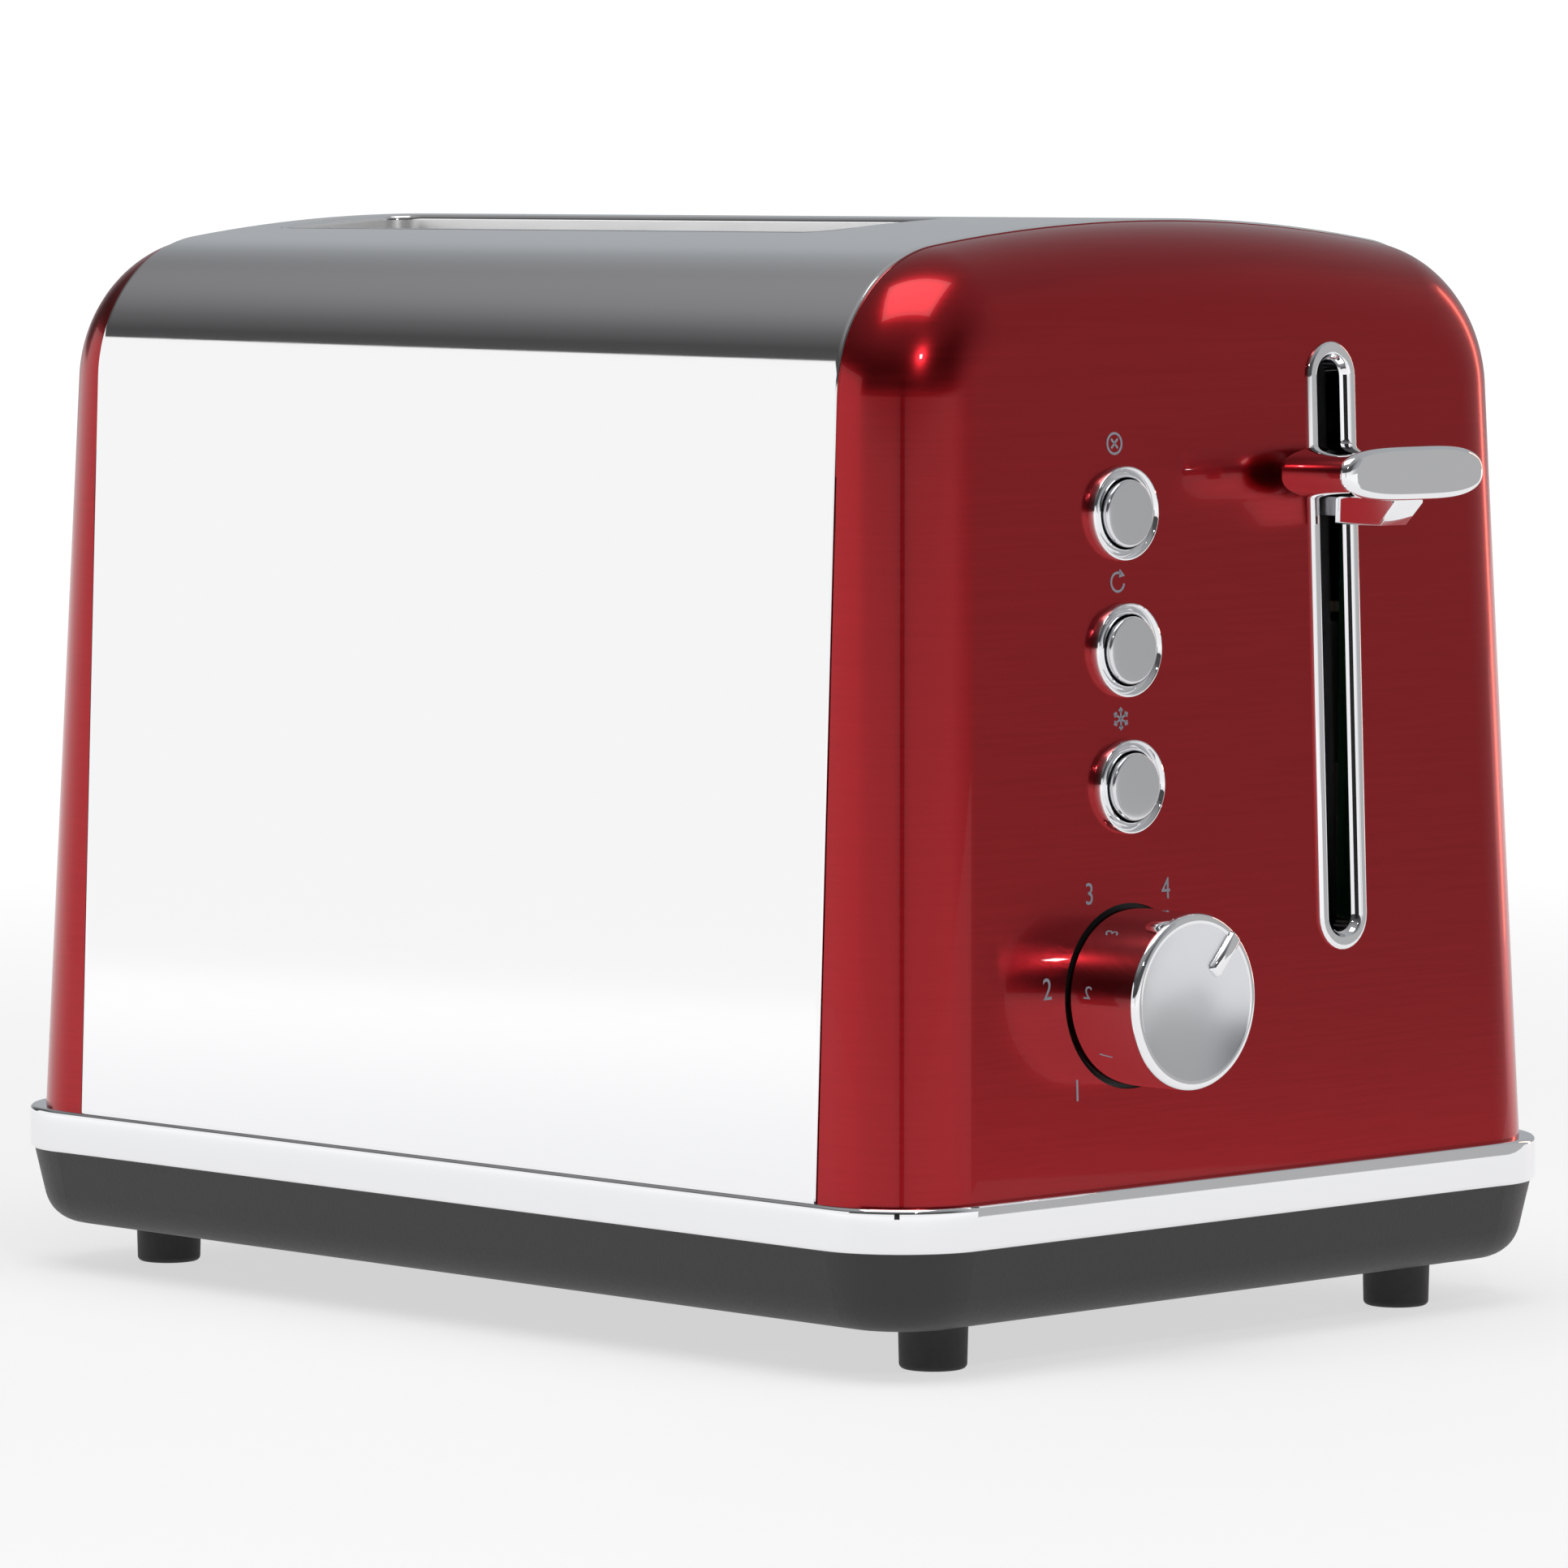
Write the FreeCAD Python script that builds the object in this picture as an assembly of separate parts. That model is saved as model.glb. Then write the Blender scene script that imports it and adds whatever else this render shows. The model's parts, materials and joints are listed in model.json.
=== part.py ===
import FreeCAD, Part
import math
import os

os.makedirs("parts", exist_ok=True)
V = FreeCAD.Vector

# ---- outside of the body, measured from the bench and from the middle of the case ----
total_height = 195.0
half_length = 118.4
half_width = 83.3
draft_deg = 2.08
corner_radius = 17.0
shoulder_radius = 26.7
crown_radius = 388.0
cap_length = 21.6
cap_step = 0.4
cap_gap = 0.35
cap_wall = 1.2
cap_flange = 1.0
wrap_wall = 0.6

# ---- trim band, base and feet ----
band_bottom = 22.3
band_height = 7.85
band_proud_x = 2.0
band_proud_y = 3.0
band_corner = 19.3
band_depth = 8.0
base_bottom = 8.3
base_set_in = 1.0
base_lean = 3.2
base_corner = 18.0
base_edge_radius = 7.0
base_wall = 2.5
foot_radius = 6.0
foot_in_x = 17.6
foot_in_y = 24.4

# ---- bread slots ----
slot_width = 31.0
slot_between = 22.0
slot_rear_in = 30.4
slot_front_in = 61.4
slot_corner = 5.0
slot_lip = 8.0
guard_in = 2.3
guard_wire = 0.8
guard_rail = 1.1
board_out = 2.0
board_thick = 0.8
ribbon_thick = 0.3
ribbon_width = 2.4
ribbon_count = 14
reflector_thick = 0.6
reflector_gap = 6.5

# ---- inner plates ----
plate_thick = 1.0
plate_gap = 5.0
plate_bottom = 24.0
side_clear = 0.5
pillar_radius = 4.5
pillar_in_y = 17.3
screw_shank = 1.45
screw_head = 3.0

# ---- lever, slot ring and carriage ----
lever_y = 26.7
lever_z = 151.0
lever_width = 36.3
lever_height = 9.5
lever_stand_off = 3.4
lever_reach = 20.5
handle_tip = 4.0
handle_edge = 1.4
stem_width = 4.4
stem_height = 9.0
travel_down = 70.0
travel_up = 12.0
ring_low = 67.1
ring_high = 173.5
ring_slack = 0.7
ring_face = 3.25
ring_border = 2.7
ring_proud = 0.4
rod_radius = 3.0
rod_gap = 0.3
rod_ahead = 15.0
slider_low = 98.0
slider_height = 24.0
spring_radius = 4.0
spring_wire = 0.6
spring_turns = 12

# ---- knob and buttons ----
knob_y = -27.5
knob_z = 62.6
knob_radius = 15.15
knob_side_gap = 0.75
knob_reach = 15.3
knob_gap = 0.35
pointer_deg = 41.6
pointer_rise = 0.9
shaft_radius = 3.0
running_gap = 0.05
button_y = -27.0
button_top_z = 145.0
button_pitch = 23.3
button_radius = 5.8
button_gap = 0.35
button_sleeve = 0.75
button_flange = 1.25
button_ring_proud = 1.4
button_proud = 2.3
button_travel = 2.5
board_behind = 20.8
circuit_thick = 1.6

# ---- crumb tray ----
tray_half_width = 49.8
tray_gap = 0.6
tray_sheet = 0.8
tray_depth = 6.0
tray_door_height = 8.6

# ---- worked out from the sizes above ----
slot_center_y = (slot_width + slot_between) / 2.0
guard_half_gap = slot_width / 2.0 - guard_in
board_half_gap = slot_width / 2.0 + board_out
reflector_out = board_half_gap + reflector_gap
ring_opening = stem_width + ring_slack * 2.0
ring_width = ring_opening + ring_face * 2.0
knob_recess_radius = knob_radius + knob_side_gap
button_bore = button_radius + button_gap
button_neck = button_bore + button_sleeve
button_ring_radius = button_neck + button_flange
lean = math.tan(math.radians(draft_deg))
slant = math.cos(math.radians(draft_deg))
band_top = band_bottom + band_height
seam_x = half_length - cap_length
slot_rear_x = -(half_length - slot_rear_in)
slot_front_x = half_length - slot_front_in
front_plate_x = slot_front_x + plate_gap
rear_plate_x = slot_rear_x - plate_gap
rod_x = front_plate_x + plate_thick + rod_ahead
top_bracket_z = total_height - 19.0
circuit_x = half_length - board_behind
floor_z = base_bottom + base_wall
knob_sink = cap_step + cap_wall - lean * knob_radius - knob_gap


def wall_x(z):
    return half_length - (z - band_top) * lean


lever_front = wall_x(lever_z) + lever_reach
band_end = half_length + band_proud_x
shift_x = -(lever_front - band_end) / 2.0


def box(x0, x1, y0, y1, z0, z1):
    return Part.makeBox(x1 - x0, y1 - y0, z1 - z0, V(x0, y0, z0))


def rod_along_x(radius, x0, x1, y, z):
    return Part.makeCylinder(radius, x1 - x0, V(x0, y, z), V(1, 0, 0))


def rod_along_z(radius, x, y, z0, z1):
    return Part.makeCylinder(radius, z1 - z0, V(x, y, z0), V(0, 0, 1))


def save(name, shape):
    piece = shape.copy()
    piece.translate(V(shift_x, 0, 0))
    piece.exportStep("parts/" + name + ".step")


def rounded_outline(half_x, half_y, radius, z):
    cx = half_x - radius
    cy = half_y - radius
    k = radius * math.sqrt(0.5)
    edges = []
    edges.append(Part.makeLine(V(-cx, -half_y, z), V(cx, -half_y, z)))
    edges.append(Part.Arc(V(cx, -half_y, z), V(cx + k, -cy - k, z), V(half_x, -cy, z)).toShape())
    edges.append(Part.makeLine(V(half_x, -cy, z), V(half_x, cy, z)))
    edges.append(Part.Arc(V(half_x, cy, z), V(cx + k, cy + k, z), V(cx, half_y, z)).toShape())
    edges.append(Part.makeLine(V(cx, half_y, z), V(-cx, half_y, z)))
    edges.append(Part.Arc(V(-cx, half_y, z), V(-cx - k, cy + k, z), V(-half_x, cy, z)).toShape())
    edges.append(Part.makeLine(V(-half_x, cy, z), V(-half_x, -cy, z)))
    edges.append(Part.Arc(V(-half_x, -cy, z), V(-cx - k, -cy - k, z), V(-cx, -half_y, z)).toShape())
    return Part.Wire(edges)


def upright_prism(half_x, half_y, radius, z0, z1):
    return Part.Face(rounded_outline(half_x, half_y, radius, z0)).extrude(V(0, 0, z1 - z0))


def body_section(inset, x, z0):
    shoulder = shoulder_radius
    crown_center = total_height - crown_radius
    a = half_width - shoulder / slant
    drop = band_top - crown_center
    qa = 1.0 + lean * lean
    qb = 2.0 * (drop - a * lean)
    qc = a * a + drop * drop - (crown_radius - shoulder) ** 2
    rise = (-qb + math.sqrt(qb * qb - 4.0 * qa * qc)) / (2.0 * qa)
    cy = a - lean * rise
    cz = band_top + rise
    side = V(0, slant, slant * lean)
    up = V(0, cy, cz - crown_center)
    up.normalize()
    bend = side + up
    bend.normalize()
    r = shoulder - inset
    center = V(x, cy, cz)
    foot = V(x, half_width - (z0 - band_top) * lean - inset / slant, z0)
    side_end = center + side * r
    bend_mid = center + bend * r
    crown_start = center + up * r
    crown_mid = V(x, 0, total_height - inset)
    pts = [foot, side_end, bend_mid, crown_start]
    other = [V(p.x, -p.y, p.z) for p in pts]
    edges = []
    edges.append(Part.makeLine(other[0], pts[0]))
    edges.append(Part.makeLine(pts[0], pts[1]))
    edges.append(Part.Arc(pts[1], pts[2], pts[3]).toShape())
    edges.append(Part.Arc(pts[3], crown_mid, other[3]).toShape())
    edges.append(Part.Arc(other[3], other[2], other[1]).toShape())
    edges.append(Part.makeLine(other[1], other[0]))
    return Part.Face(Part.Wire(edges))


def end_line(inset, z):
    return wall_x(z) - inset / slant


def body_solid(inset, z0):
    bar = body_section(inset, -half_length * 1.2, z0).extrude(V(half_length * 2.4, 0, 0))
    high = total_height + 10.0
    low = z0 - 1.0
    ends = [V(end_line(inset, low), 0, low), V(end_line(inset, high), 0, high)]
    corners = [ends[0], ends[1], V(-ends[1].x, 0, high), V(-ends[0].x, 0, low), ends[0]]
    moved = [p + V(0, -half_width * 1.5, 0) for p in corners]
    wedge = Part.Face(Part.makePolygon(moved)).extrude(V(0, half_width * 3.0, 0))
    solid = bar.common(wedge)
    rim = []
    for edge in solid.Edges:
        ends_at = [abs(abs(v.X) - end_line(inset, v.Z)) < 0.01 for v in edge.Vertexes]
        at_foot = [abs(v.Z - z0) < 0.01 for v in edge.Vertexes]
        if all(ends_at) and not all(at_foot):
            rim.append(edge)
    return solid.makeFillet(corner_radius - inset, rim)


def end_slab(proud, behind, y0, y1, z0, z1):
    pts = [V(end_line(-proud, z0), y0, z0), V(end_line(-proud, z1), y0, z1)]
    pts.append(V(end_line(behind, z1), y0, z1))
    pts.append(V(end_line(behind, z0), y0, z0))
    pts.append(pts[0])
    return Part.Face(Part.makePolygon(pts)).extrude(V(0, y1 - y0, 0))


def stadium_along_x(x0, x1, y, width, z0, z1):
    r = width / 2.0
    bar = box(x0, x1, y - r, y + r, z0 + r, z1 - r)
    low = rod_along_x(r, x0, x1, y, z0 + r)
    high = rod_along_x(r, x0, x1, y, z1 - r)
    return bar.fuse([low, high]).removeSplitter()


# ---- stainless wrap: long sides and top in one sheet, folded down into both bread slots ----
outer = body_solid(0.0, band_top)
inner = body_solid(wrap_wall, band_top - 5.0)
slab = box(-seam_x, seam_x, -half_width * 1.2, half_width * 1.2, band_top, total_height + 5.0)
wrap = outer.common(slab).cut(inner)
slot_mid_x = (slot_rear_x + slot_front_x) / 2.0
slot_half_x = (slot_front_x - slot_rear_x) / 2.0
slot_half_y = slot_width / 2.0
lip_bottom = total_height - slot_lip - 3.0
for side in (-1, 1):
    where = V(slot_mid_x, side * slot_center_y, 0)
    collar = upright_prism(slot_half_x + wrap_wall, slot_half_y + wrap_wall, slot_corner + wrap_wall,
                           lip_bottom, total_height + 5.0)
    hole = upright_prism(slot_half_x, slot_half_y, slot_corner, lip_bottom - 1.0, total_height + 6.0)
    collar.translate(where)
    hole.translate(where)
    wrap = wrap.fuse(collar.common(outer)).cut(hole)
save("wrap_shell", wrap)

# ---- painted end caps with a joggled flange that runs under the wrap ----
cap_outer = body_solid(cap_step, band_top)
cap_inner = body_solid(cap_step + cap_wall, band_top - 5.0)
flange_outer = body_solid(wrap_wall + cap_gap, band_top)
flange_inner = body_solid(wrap_wall + cap_gap + cap_flange, band_top - 5.0)
cap_span = box(seam_x + cap_gap, half_length * 1.3, -half_width * 1.2, half_width * 1.2, band_top, total_height + 5.0)
flange_span = box(seam_x - 6.0, seam_x + 4.0, -half_width * 1.2, half_width * 1.2, band_top, total_height + 5.0)
cap = cap_outer.cut(cap_inner).common(cap_span)
cap = cap.fuse(flange_outer.cut(flange_inner).common(flange_span))
rear_cap = cap.mirror(V(0, 0, 0), V(1, 0, 0))
save("rear_end_cap", rear_cap)

button_heights = [button_top_z - i * button_pitch for i in range(3)]
neck_width = ring_width - ring_border * 2.0 + 1.6
openings = [stadium_along_x(seam_x + 5.0, half_length + 5.0, lever_y, neck_width + 0.8,
                            ring_low + ring_border - 1.2, ring_high - ring_border + 1.2)]
openings.append(rod_along_x(knob_recess_radius, seam_x + 5.0, half_length + 5.0, knob_y, knob_z))
for z in button_heights:
    openings.append(rod_along_x(button_neck + 0.2, seam_x + 5.0, half_length + 5.0, button_y, z))
front_cap = cap
for opening in openings:
    front_cap = front_cap.cut(opening)
save("front_end_cap", front_cap)

# ---- bright trim band that the shells stand on ----
band_x = half_length + band_proud_x
band_y = half_width + band_proud_y
band = upright_prism(band_x, band_y, band_corner, band_bottom, band_top)
soft_edges = []
for edge in band.Edges:
    if all(abs(v.Z - band_bottom) < 0.01 or abs(v.Z - band_top) < 0.01 for v in edge.Vertexes):
        if abs(edge.Vertexes[0].Z - edge.Vertexes[-1].Z) < 0.01:
            soft_edges.append(edge)
band = band.makeFillet(0.8, soft_edges)
band = band.cut(upright_prism(band_x - band_depth, band_y - band_depth, band_corner - band_depth,
                              band_bottom - 1.0, band_top + 1.0))
save("trim_band", band)

# ---- moulded base, open on top, with screw pillars, tray rails and a tray doorway ----
def base_block(inset, z0, z1):
    top_x = band_x - base_set_in - inset
    top_y = band_y - base_set_in - inset
    top = rounded_outline(top_x, top_y, base_corner - inset, z1)
    low = rounded_outline(top_x - base_lean, top_y - base_lean, base_corner - base_lean - inset, z0)
    block = Part.makeLoft([low, top], True, True)
    rim = []
    for edge in block.Edges:
        if all(abs(v.Z - z0) < 0.01 for v in edge.Vertexes):
            rim.append(edge)
    return block.makeFillet(base_edge_radius - inset * 0.5, rim)


base_outer = base_block(0.0, base_bottom, band_bottom)
base_inner = base_block(base_wall, floor_z, band_bottom + 0.001)
base = base_outer.cut(base_inner)
rear_reach = -(band_x + 5.0)
tray_front_x = front_plate_x - 2.0
tray_rear_x = -(half_length - 12.0)
rail_in = tray_half_width + tray_gap
for side in (-1, 1):
    y0 = min(side * rail_in, side * (rail_in + 2.0))
    rail = box(tray_rear_x, tray_front_x, y0, y0 + 2.0, floor_z - 0.5, floor_z + tray_depth + 3.0)
    base = base.fuse(rail)
doorway = box(rear_reach, tray_rear_x - 0.4, -rail_in, rail_in, floor_z, floor_z + tray_door_height)
base = base.cut(doorway.cut(box(tray_rear_x - 6.0, 0.0, -200.0, 200.0, 0.0, floor_z)))
pillar_y = half_width - pillar_in_y
pillar_spots = []
for x in (front_plate_x + plate_thick + 7.5, rear_plate_x + 7.5):
    for side in (-1, 1):
        pillar_spots.append((x, side * pillar_y))
for x, y in pillar_spots:
    base = base.fuse(rod_along_z(pillar_radius, x, y, floor_z - 0.5, plate_bottom))
for x, y in pillar_spots:
    base = base.cut(rod_along_z(screw_head + 0.3, x, y, base_bottom - 1.0, base_bottom + 3.2))
    base = base.cut(rod_along_z(screw_shank + 0.1, x, y, base_bottom, plate_bottom + 1.0))
gland_y = -(tray_half_width + 9.6)
gland_z = 16.4
base = base.cut(rod_along_x(4.0, rear_reach, -half_length + 12.0, gland_y, gland_z))
save("base_housing", base)

# ---- cord bushing in the rear wall ----
collar_x = -(band_x - base_set_in) - 0.05
bushing = rod_along_x(3.9, collar_x, -half_length + 13.0, gland_y, gland_z)
collar = rod_along_x(5.0, collar_x - 0.9, collar_x, gland_y, gland_z)
bushing = bushing.fuse(collar).cut(rod_along_x(2.4, rear_reach, -half_length + 14.0, gland_y, gland_z))
save("cord_bushing", bushing)

# ---- rubber feet ----
foot_x = half_length - foot_in_x
foot_y = half_width - foot_in_y
for end, sx in (("front", 1), ("rear", -1)):
    for hand, sy in (("left", -1), ("right", 1)):
        foot = rod_along_z(foot_radius, sx * foot_x, sy * foot_y, 0.0, base_bottom)
        foot = foot.makeFillet(0.8, [e for e in foot.Edges if all(v.Z < 0.01 for v in e.Vertexes)])
        save("foot_" + end + "_" + hand, foot)

# ---- case screws, driven up through the base into the inner plates ----
screws = []
for x, y in pillar_spots:
    head = rod_along_z(screw_head, x, y, base_bottom + 1.2, base_bottom + 3.2)
    shank = rod_along_z(screw_shank, x, y, base_bottom + 3.2, plate_bottom + plate_thick + 2.0)
    cross = box(x - 1.8, x + 1.8, y - 0.4, y + 0.4, base_bottom + 1.0, base_bottom + 2.0)
    other_cross = box(x - 0.4, x + 0.4, y - 1.8, y + 1.8, base_bottom + 1.0, base_bottom + 2.0)
    screws.append(head.fuse(shank).cut(cross).cut(other_cross))
save("case_screws", Part.makeCompound(screws))


# ---- upright inner plates either side of the bread wells ----
def inner_plate(x, inset):
    plate = body_section(inset, x, band_top).extrude(V(plate_thick, 0, 0))
    low_half = band_y - band_depth - 2.0
    plate = plate.fuse(box(x, x + plate_thick, -low_half, low_half, plate_bottom, band_top + 1.0))
    for side in (-1, 1):
        y0 = side * pillar_y - 6.0
        flange = box(x + plate_thick - 0.5, x + plate_thick + 14.0, y0, y0 + 12.0,
                     plate_bottom, plate_bottom + plate_thick)
        plate = plate.fuse(flange)
    for px, py in pillar_spots:
        plate = plate.cut(rod_along_z(screw_shank + 0.1, px, py, plate_bottom - 1.0, plate_bottom + 3.0))
    return plate


rack_low = slider_low + 6.0
rack_high = rack_low + 6.0
rack_half = guard_half_gap - 2.7
cross_half = slot_center_y + 6.5
front_plate = inner_plate(front_plate_x, wrap_wall + side_clear)
for side in (-1, 1):
    y = side * slot_center_y
    front_plate = front_plate.cut(box(front_plate_x - 5.0, front_plate_x + 5.0, y - 2.4, y + 2.4,
                                      rack_low - travel_down - 1.2, rack_high + travel_up + 1.2))
save("front_inner_plate", front_plate.removeSplitter())
rear_plate = inner_plate(rear_plate_x - plate_thick, wrap_wall + cap_gap + cap_flange + side_clear)
save("rear_inner_plate", rear_plate.removeSplitter())

# ---- reflectors, heater boards, ribbons and bread guards span between the inner plates ----
well_bottom = band_top + 2.0
board_top = lip_bottom - 8.0
for hand, side in (("left", -1), ("right", 1)):
    y = side * (slot_center_y + reflector_out)
    sheet = box(rear_plate_x, front_plate_x, y - reflector_thick / 2.0, y + reflector_thick / 2.0,
                well_bottom - 4.0, lip_bottom - 12.0)
    save("side_reflector_" + hand, sheet)
divider = box(rear_plate_x, front_plate_x, -reflector_thick / 2.0, reflector_thick / 2.0,
              well_bottom - 4.0, lip_bottom - 4.0)
save("center_divider", divider)

ribbon_pitch = (board_top - well_bottom - 12.0) / (ribbon_count - 1)
for hand, side in (("left", -1), ("right", 1)):
    for place, off in (("inner", -1), ("outer", 1)):
        y = side * (slot_center_y + off * board_half_gap)
        y0 = y - board_thick / 2.0
        y1 = y + board_thick / 2.0
        board = box(rear_plate_x, front_plate_x, y0, y1, well_bottom, board_top)
        x0 = slot_rear_x + 6.0
        x1 = slot_front_x - 6.0
        facing = -side * off
        back_y = y0 if facing > 0 else y1
        ribbon = None
        for i in range(ribbon_count):
            z = well_bottom + 6.0 + i * ribbon_pitch
            face_y = y1 if facing > 0 else y0 - ribbon_thick
            strip = box(x0, x1, face_y, face_y + ribbon_thick, z - ribbon_width / 2.0, z + ribbon_width / 2.0)
            ribbon = strip if ribbon is None else ribbon.fuse(strip)
        for i in range(ribbon_count - 1):
            z = well_bottom + 6.0 + i * ribbon_pitch
            x = x0 if i % 2 else x1 - ribbon_width
            face_y = y1 if facing > 0 else y0 - ribbon_thick
            link = box(x, x + ribbon_width, face_y, face_y + ribbon_thick, z, z + ribbon_pitch)
            ribbon = ribbon.fuse(link)
        save("heater_board_" + hand + "_" + place, board)
        save("heater_ribbon_" + hand + "_" + place, ribbon.removeSplitter())

        gy = side * (slot_center_y + off * guard_half_gap)
        guard = None
        rail_low = well_bottom + 8.0
        rail_high = lip_bottom - 14.0
        for z in (rail_low, rail_high):
            rail = rod_along_x(guard_rail, rear_plate_x, front_plate_x, gy, z)
            guard = rail if guard is None else guard.fuse(rail)
        wires = 8
        pitch = (slot_half_x * 2.0 - 16.0) / (wires - 1)
        for i in range(wires):
            x = slot_rear_x + 8.0 + i * pitch
            guard = guard.fuse(rod_along_z(guard_wire, x, gy, rail_low - 6.0, lip_bottom + 4.0))
        save("bread_guard_" + hand + "_" + place, guard)

# ---- guide rod and its two brackets ----
bracket_rear = front_plate_x + plate_thick
lower_bracket = box(bracket_rear, rod_x + 12.0, -34.0, 32.0, plate_bottom, plate_bottom + 2.0)
lower_bracket = lower_bracket.cut(rod_along_z(rod_radius + 0.1, rod_x, 0.0, plate_bottom - 1.0, plate_bottom + 3.0))
save("lower_bracket", lower_bracket)
upper_bracket = box(bracket_rear, rod_x + 7.0, -8.0, 20.0, top_bracket_z, top_bracket_z + 2.0)
upper_bracket = upper_bracket.cut(rod_along_z(rod_radius + 0.1, rod_x, 0.0, top_bracket_z - 1.0, top_bracket_z + 3.0))
save("upper_bracket", upper_bracket)
guide_rod = rod_along_z(rod_radius, rod_x, 0.0, plate_bottom - 1.5, top_bracket_z + 3.5)
save("guide_rod", guide_rod)
clips = []
for z in (plate_bottom + 2.0, top_bracket_z - 1.2):
    clip = rod_along_z(rod_radius + 2.0, rod_x, 0.0, z, z + 1.2)
    clip = clip.cut(rod_along_z(rod_radius + 0.1, rod_x, 0.0, z - 1.0, z + 3.0))
    clips.append(clip.cut(box(rod_x, rod_x + 10.0, -1.6, 1.6, z - 1.0, z + 3.0)))
save("rod_clips", Part.makeCompound(clips))

# ---- carriage: cross plate, sliding block, lever arm, handle, racks, armature ----
cross_x = bracket_rear + 5.0
cross_thick = 2.0
slider_top = slider_low + slider_height
stem_low = lever_z - 7.8
stem_top = stem_low + stem_height
cross = box(cross_x, cross_x + cross_thick, -cross_half, cross_half, slider_low, slider_top)
cross = cross.fuse(box(cross_x, cross_x + cross_thick, lever_y - 6.7, lever_y + 6.3, slider_low, stem_top + 2.0))
save("carriage_plate", cross.removeSplitter())

block_x = cross_x + cross_thick
block = box(block_x, rod_x + 8.0, -6.5, 6.5, slider_low, slider_top)
lug = box(rod_x - 6.0, rod_x + 6.0, 6.0, 19.0, slider_top - 4.0, slider_top)
block = block.fuse(lug)
block = block.cut(rod_along_z(rod_radius + rod_gap, rod_x, 0.0, slider_low - 1.0, slider_top + 1.0))
save("carriage_slider", block.removeSplitter())

stem_y0 = lever_y - stem_width / 2.0
stem_y1 = lever_y + stem_width / 2.0
handle_back = wall_x(lever_z) + lever_stand_off
pocket_end = handle_back + 9.0
save("lever_arm", box(block_x, pocket_end, stem_y0, stem_y1, stem_low, stem_top))

handle_half = lever_width / 2.0
rise = lever_height / 2.0


flat_half = handle_half - handle_tip
bow = (flat_half * flat_half + rise * rise - handle_tip * handle_tip) / (2.0 * (rise - handle_tip))
toward = V(0, flat_half, bow - rise)
toward.normalize()
bend_y = toward.y * bow
bend_z = rise - bow + toward.z * bow
outline = []
for side in (1, -1):
    start = V(handle_back, lever_y - side * bend_y, lever_z + side * bend_z)
    crest = V(handle_back, lever_y, lever_z + side * rise)
    end = V(handle_back, lever_y + side * bend_y, lever_z + side * bend_z)
    point = V(handle_back, lever_y + side * handle_half, lever_z)
    under = V(handle_back, lever_y + side * bend_y, lever_z - side * bend_z)
    outline.append(Part.Arc(start, crest, end).toShape())
    outline.append(Part.Arc(end, point, under).toShape())
handle = Part.Face(Part.Wire(outline)).extrude(V(lever_front - handle_back, 0, 0))
front_rim = [e for e in handle.Edges if all(abs(v.X - lever_front) < 0.01 for v in e.Vertexes)]
handle = handle.makeFillet(handle_edge, front_rim)
keel_low = lever_z - rise - 4.6
keel_pts = [V(handle_back, lever_y - 3.6, keel_low), V(lever_front - 6.5, lever_y - 3.6, keel_low)]
keel_pts.append(V(lever_front - 3.0, lever_y - 3.6, keel_low + 4.0))
keel_pts.append(V(lever_front - 3.0, lever_y - 3.6, lever_z))
keel_pts.append(V(handle_back, lever_y - 3.6, lever_z))
keel_pts.append(keel_pts[0])
keel = Part.Face(Part.makePolygon(keel_pts)).extrude(V(0, 7.2, 0))
handle = handle.fuse(keel)
handle = handle.cut(box(handle_back - 1.0, pocket_end + 0.1, stem_y0 - 0.1, stem_y1 + 0.1, stem_low - 0.1, stem_top + 0.1))
save("lever_handle", handle.removeSplitter())

for hand, side in (("left", -1), ("right", 1)):
    y = side * slot_center_y
    rack = box(slot_rear_x + 5.0, cross_x, y - 1.0, y + 1.0, rack_low, rack_high)
    fingers = 9
    pitch = (slot_half_x * 2.0 - 28.0) / (fingers - 1)
    for i in range(fingers):
        x = slot_rear_x + 12.0 + i * pitch
        rack = rack.fuse(box(x, x + 3.0, y - rack_half, y + rack_half, rack_high - 1.5, rack_high))
        rack = rack.fuse(box(x, x + 3.0, y - rack_half, y - rack_half + 1.0, rack_high - 1.5, rack_high + 3.0))
        rack = rack.fuse(box(x, x + 3.0, y + rack_half - 1.0, y + rack_half, rack_high - 1.5, rack_high + 3.0))
    save("bread_rack_" + hand, rack.removeSplitter())

armature_low = slider_low + 10.0
armature_y = -22.0
save("armature_plate", box(block_x, rod_x + 10.0, armature_y - 9.0, armature_y + 9.0, armature_low, armature_low + 2.0))

# ---- return spring, stretched between the sliding block and the upper bracket ----
spring_y = 13.0
spring_length = top_bracket_z - slider_top - spring_wire * 2.0
helix = Part.makeHelix(spring_length / spring_turns, spring_length, spring_radius)
ring = Part.Wire(Part.makeCircle(spring_wire, V(spring_radius, 0, 0), V(0, 1, 0)))
coil = Part.Wire(helix).makePipeShell([ring], True, True)
coil.translate(V(rod_x, spring_y, slider_top + spring_wire))
save("carriage_spring", coil)

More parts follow.
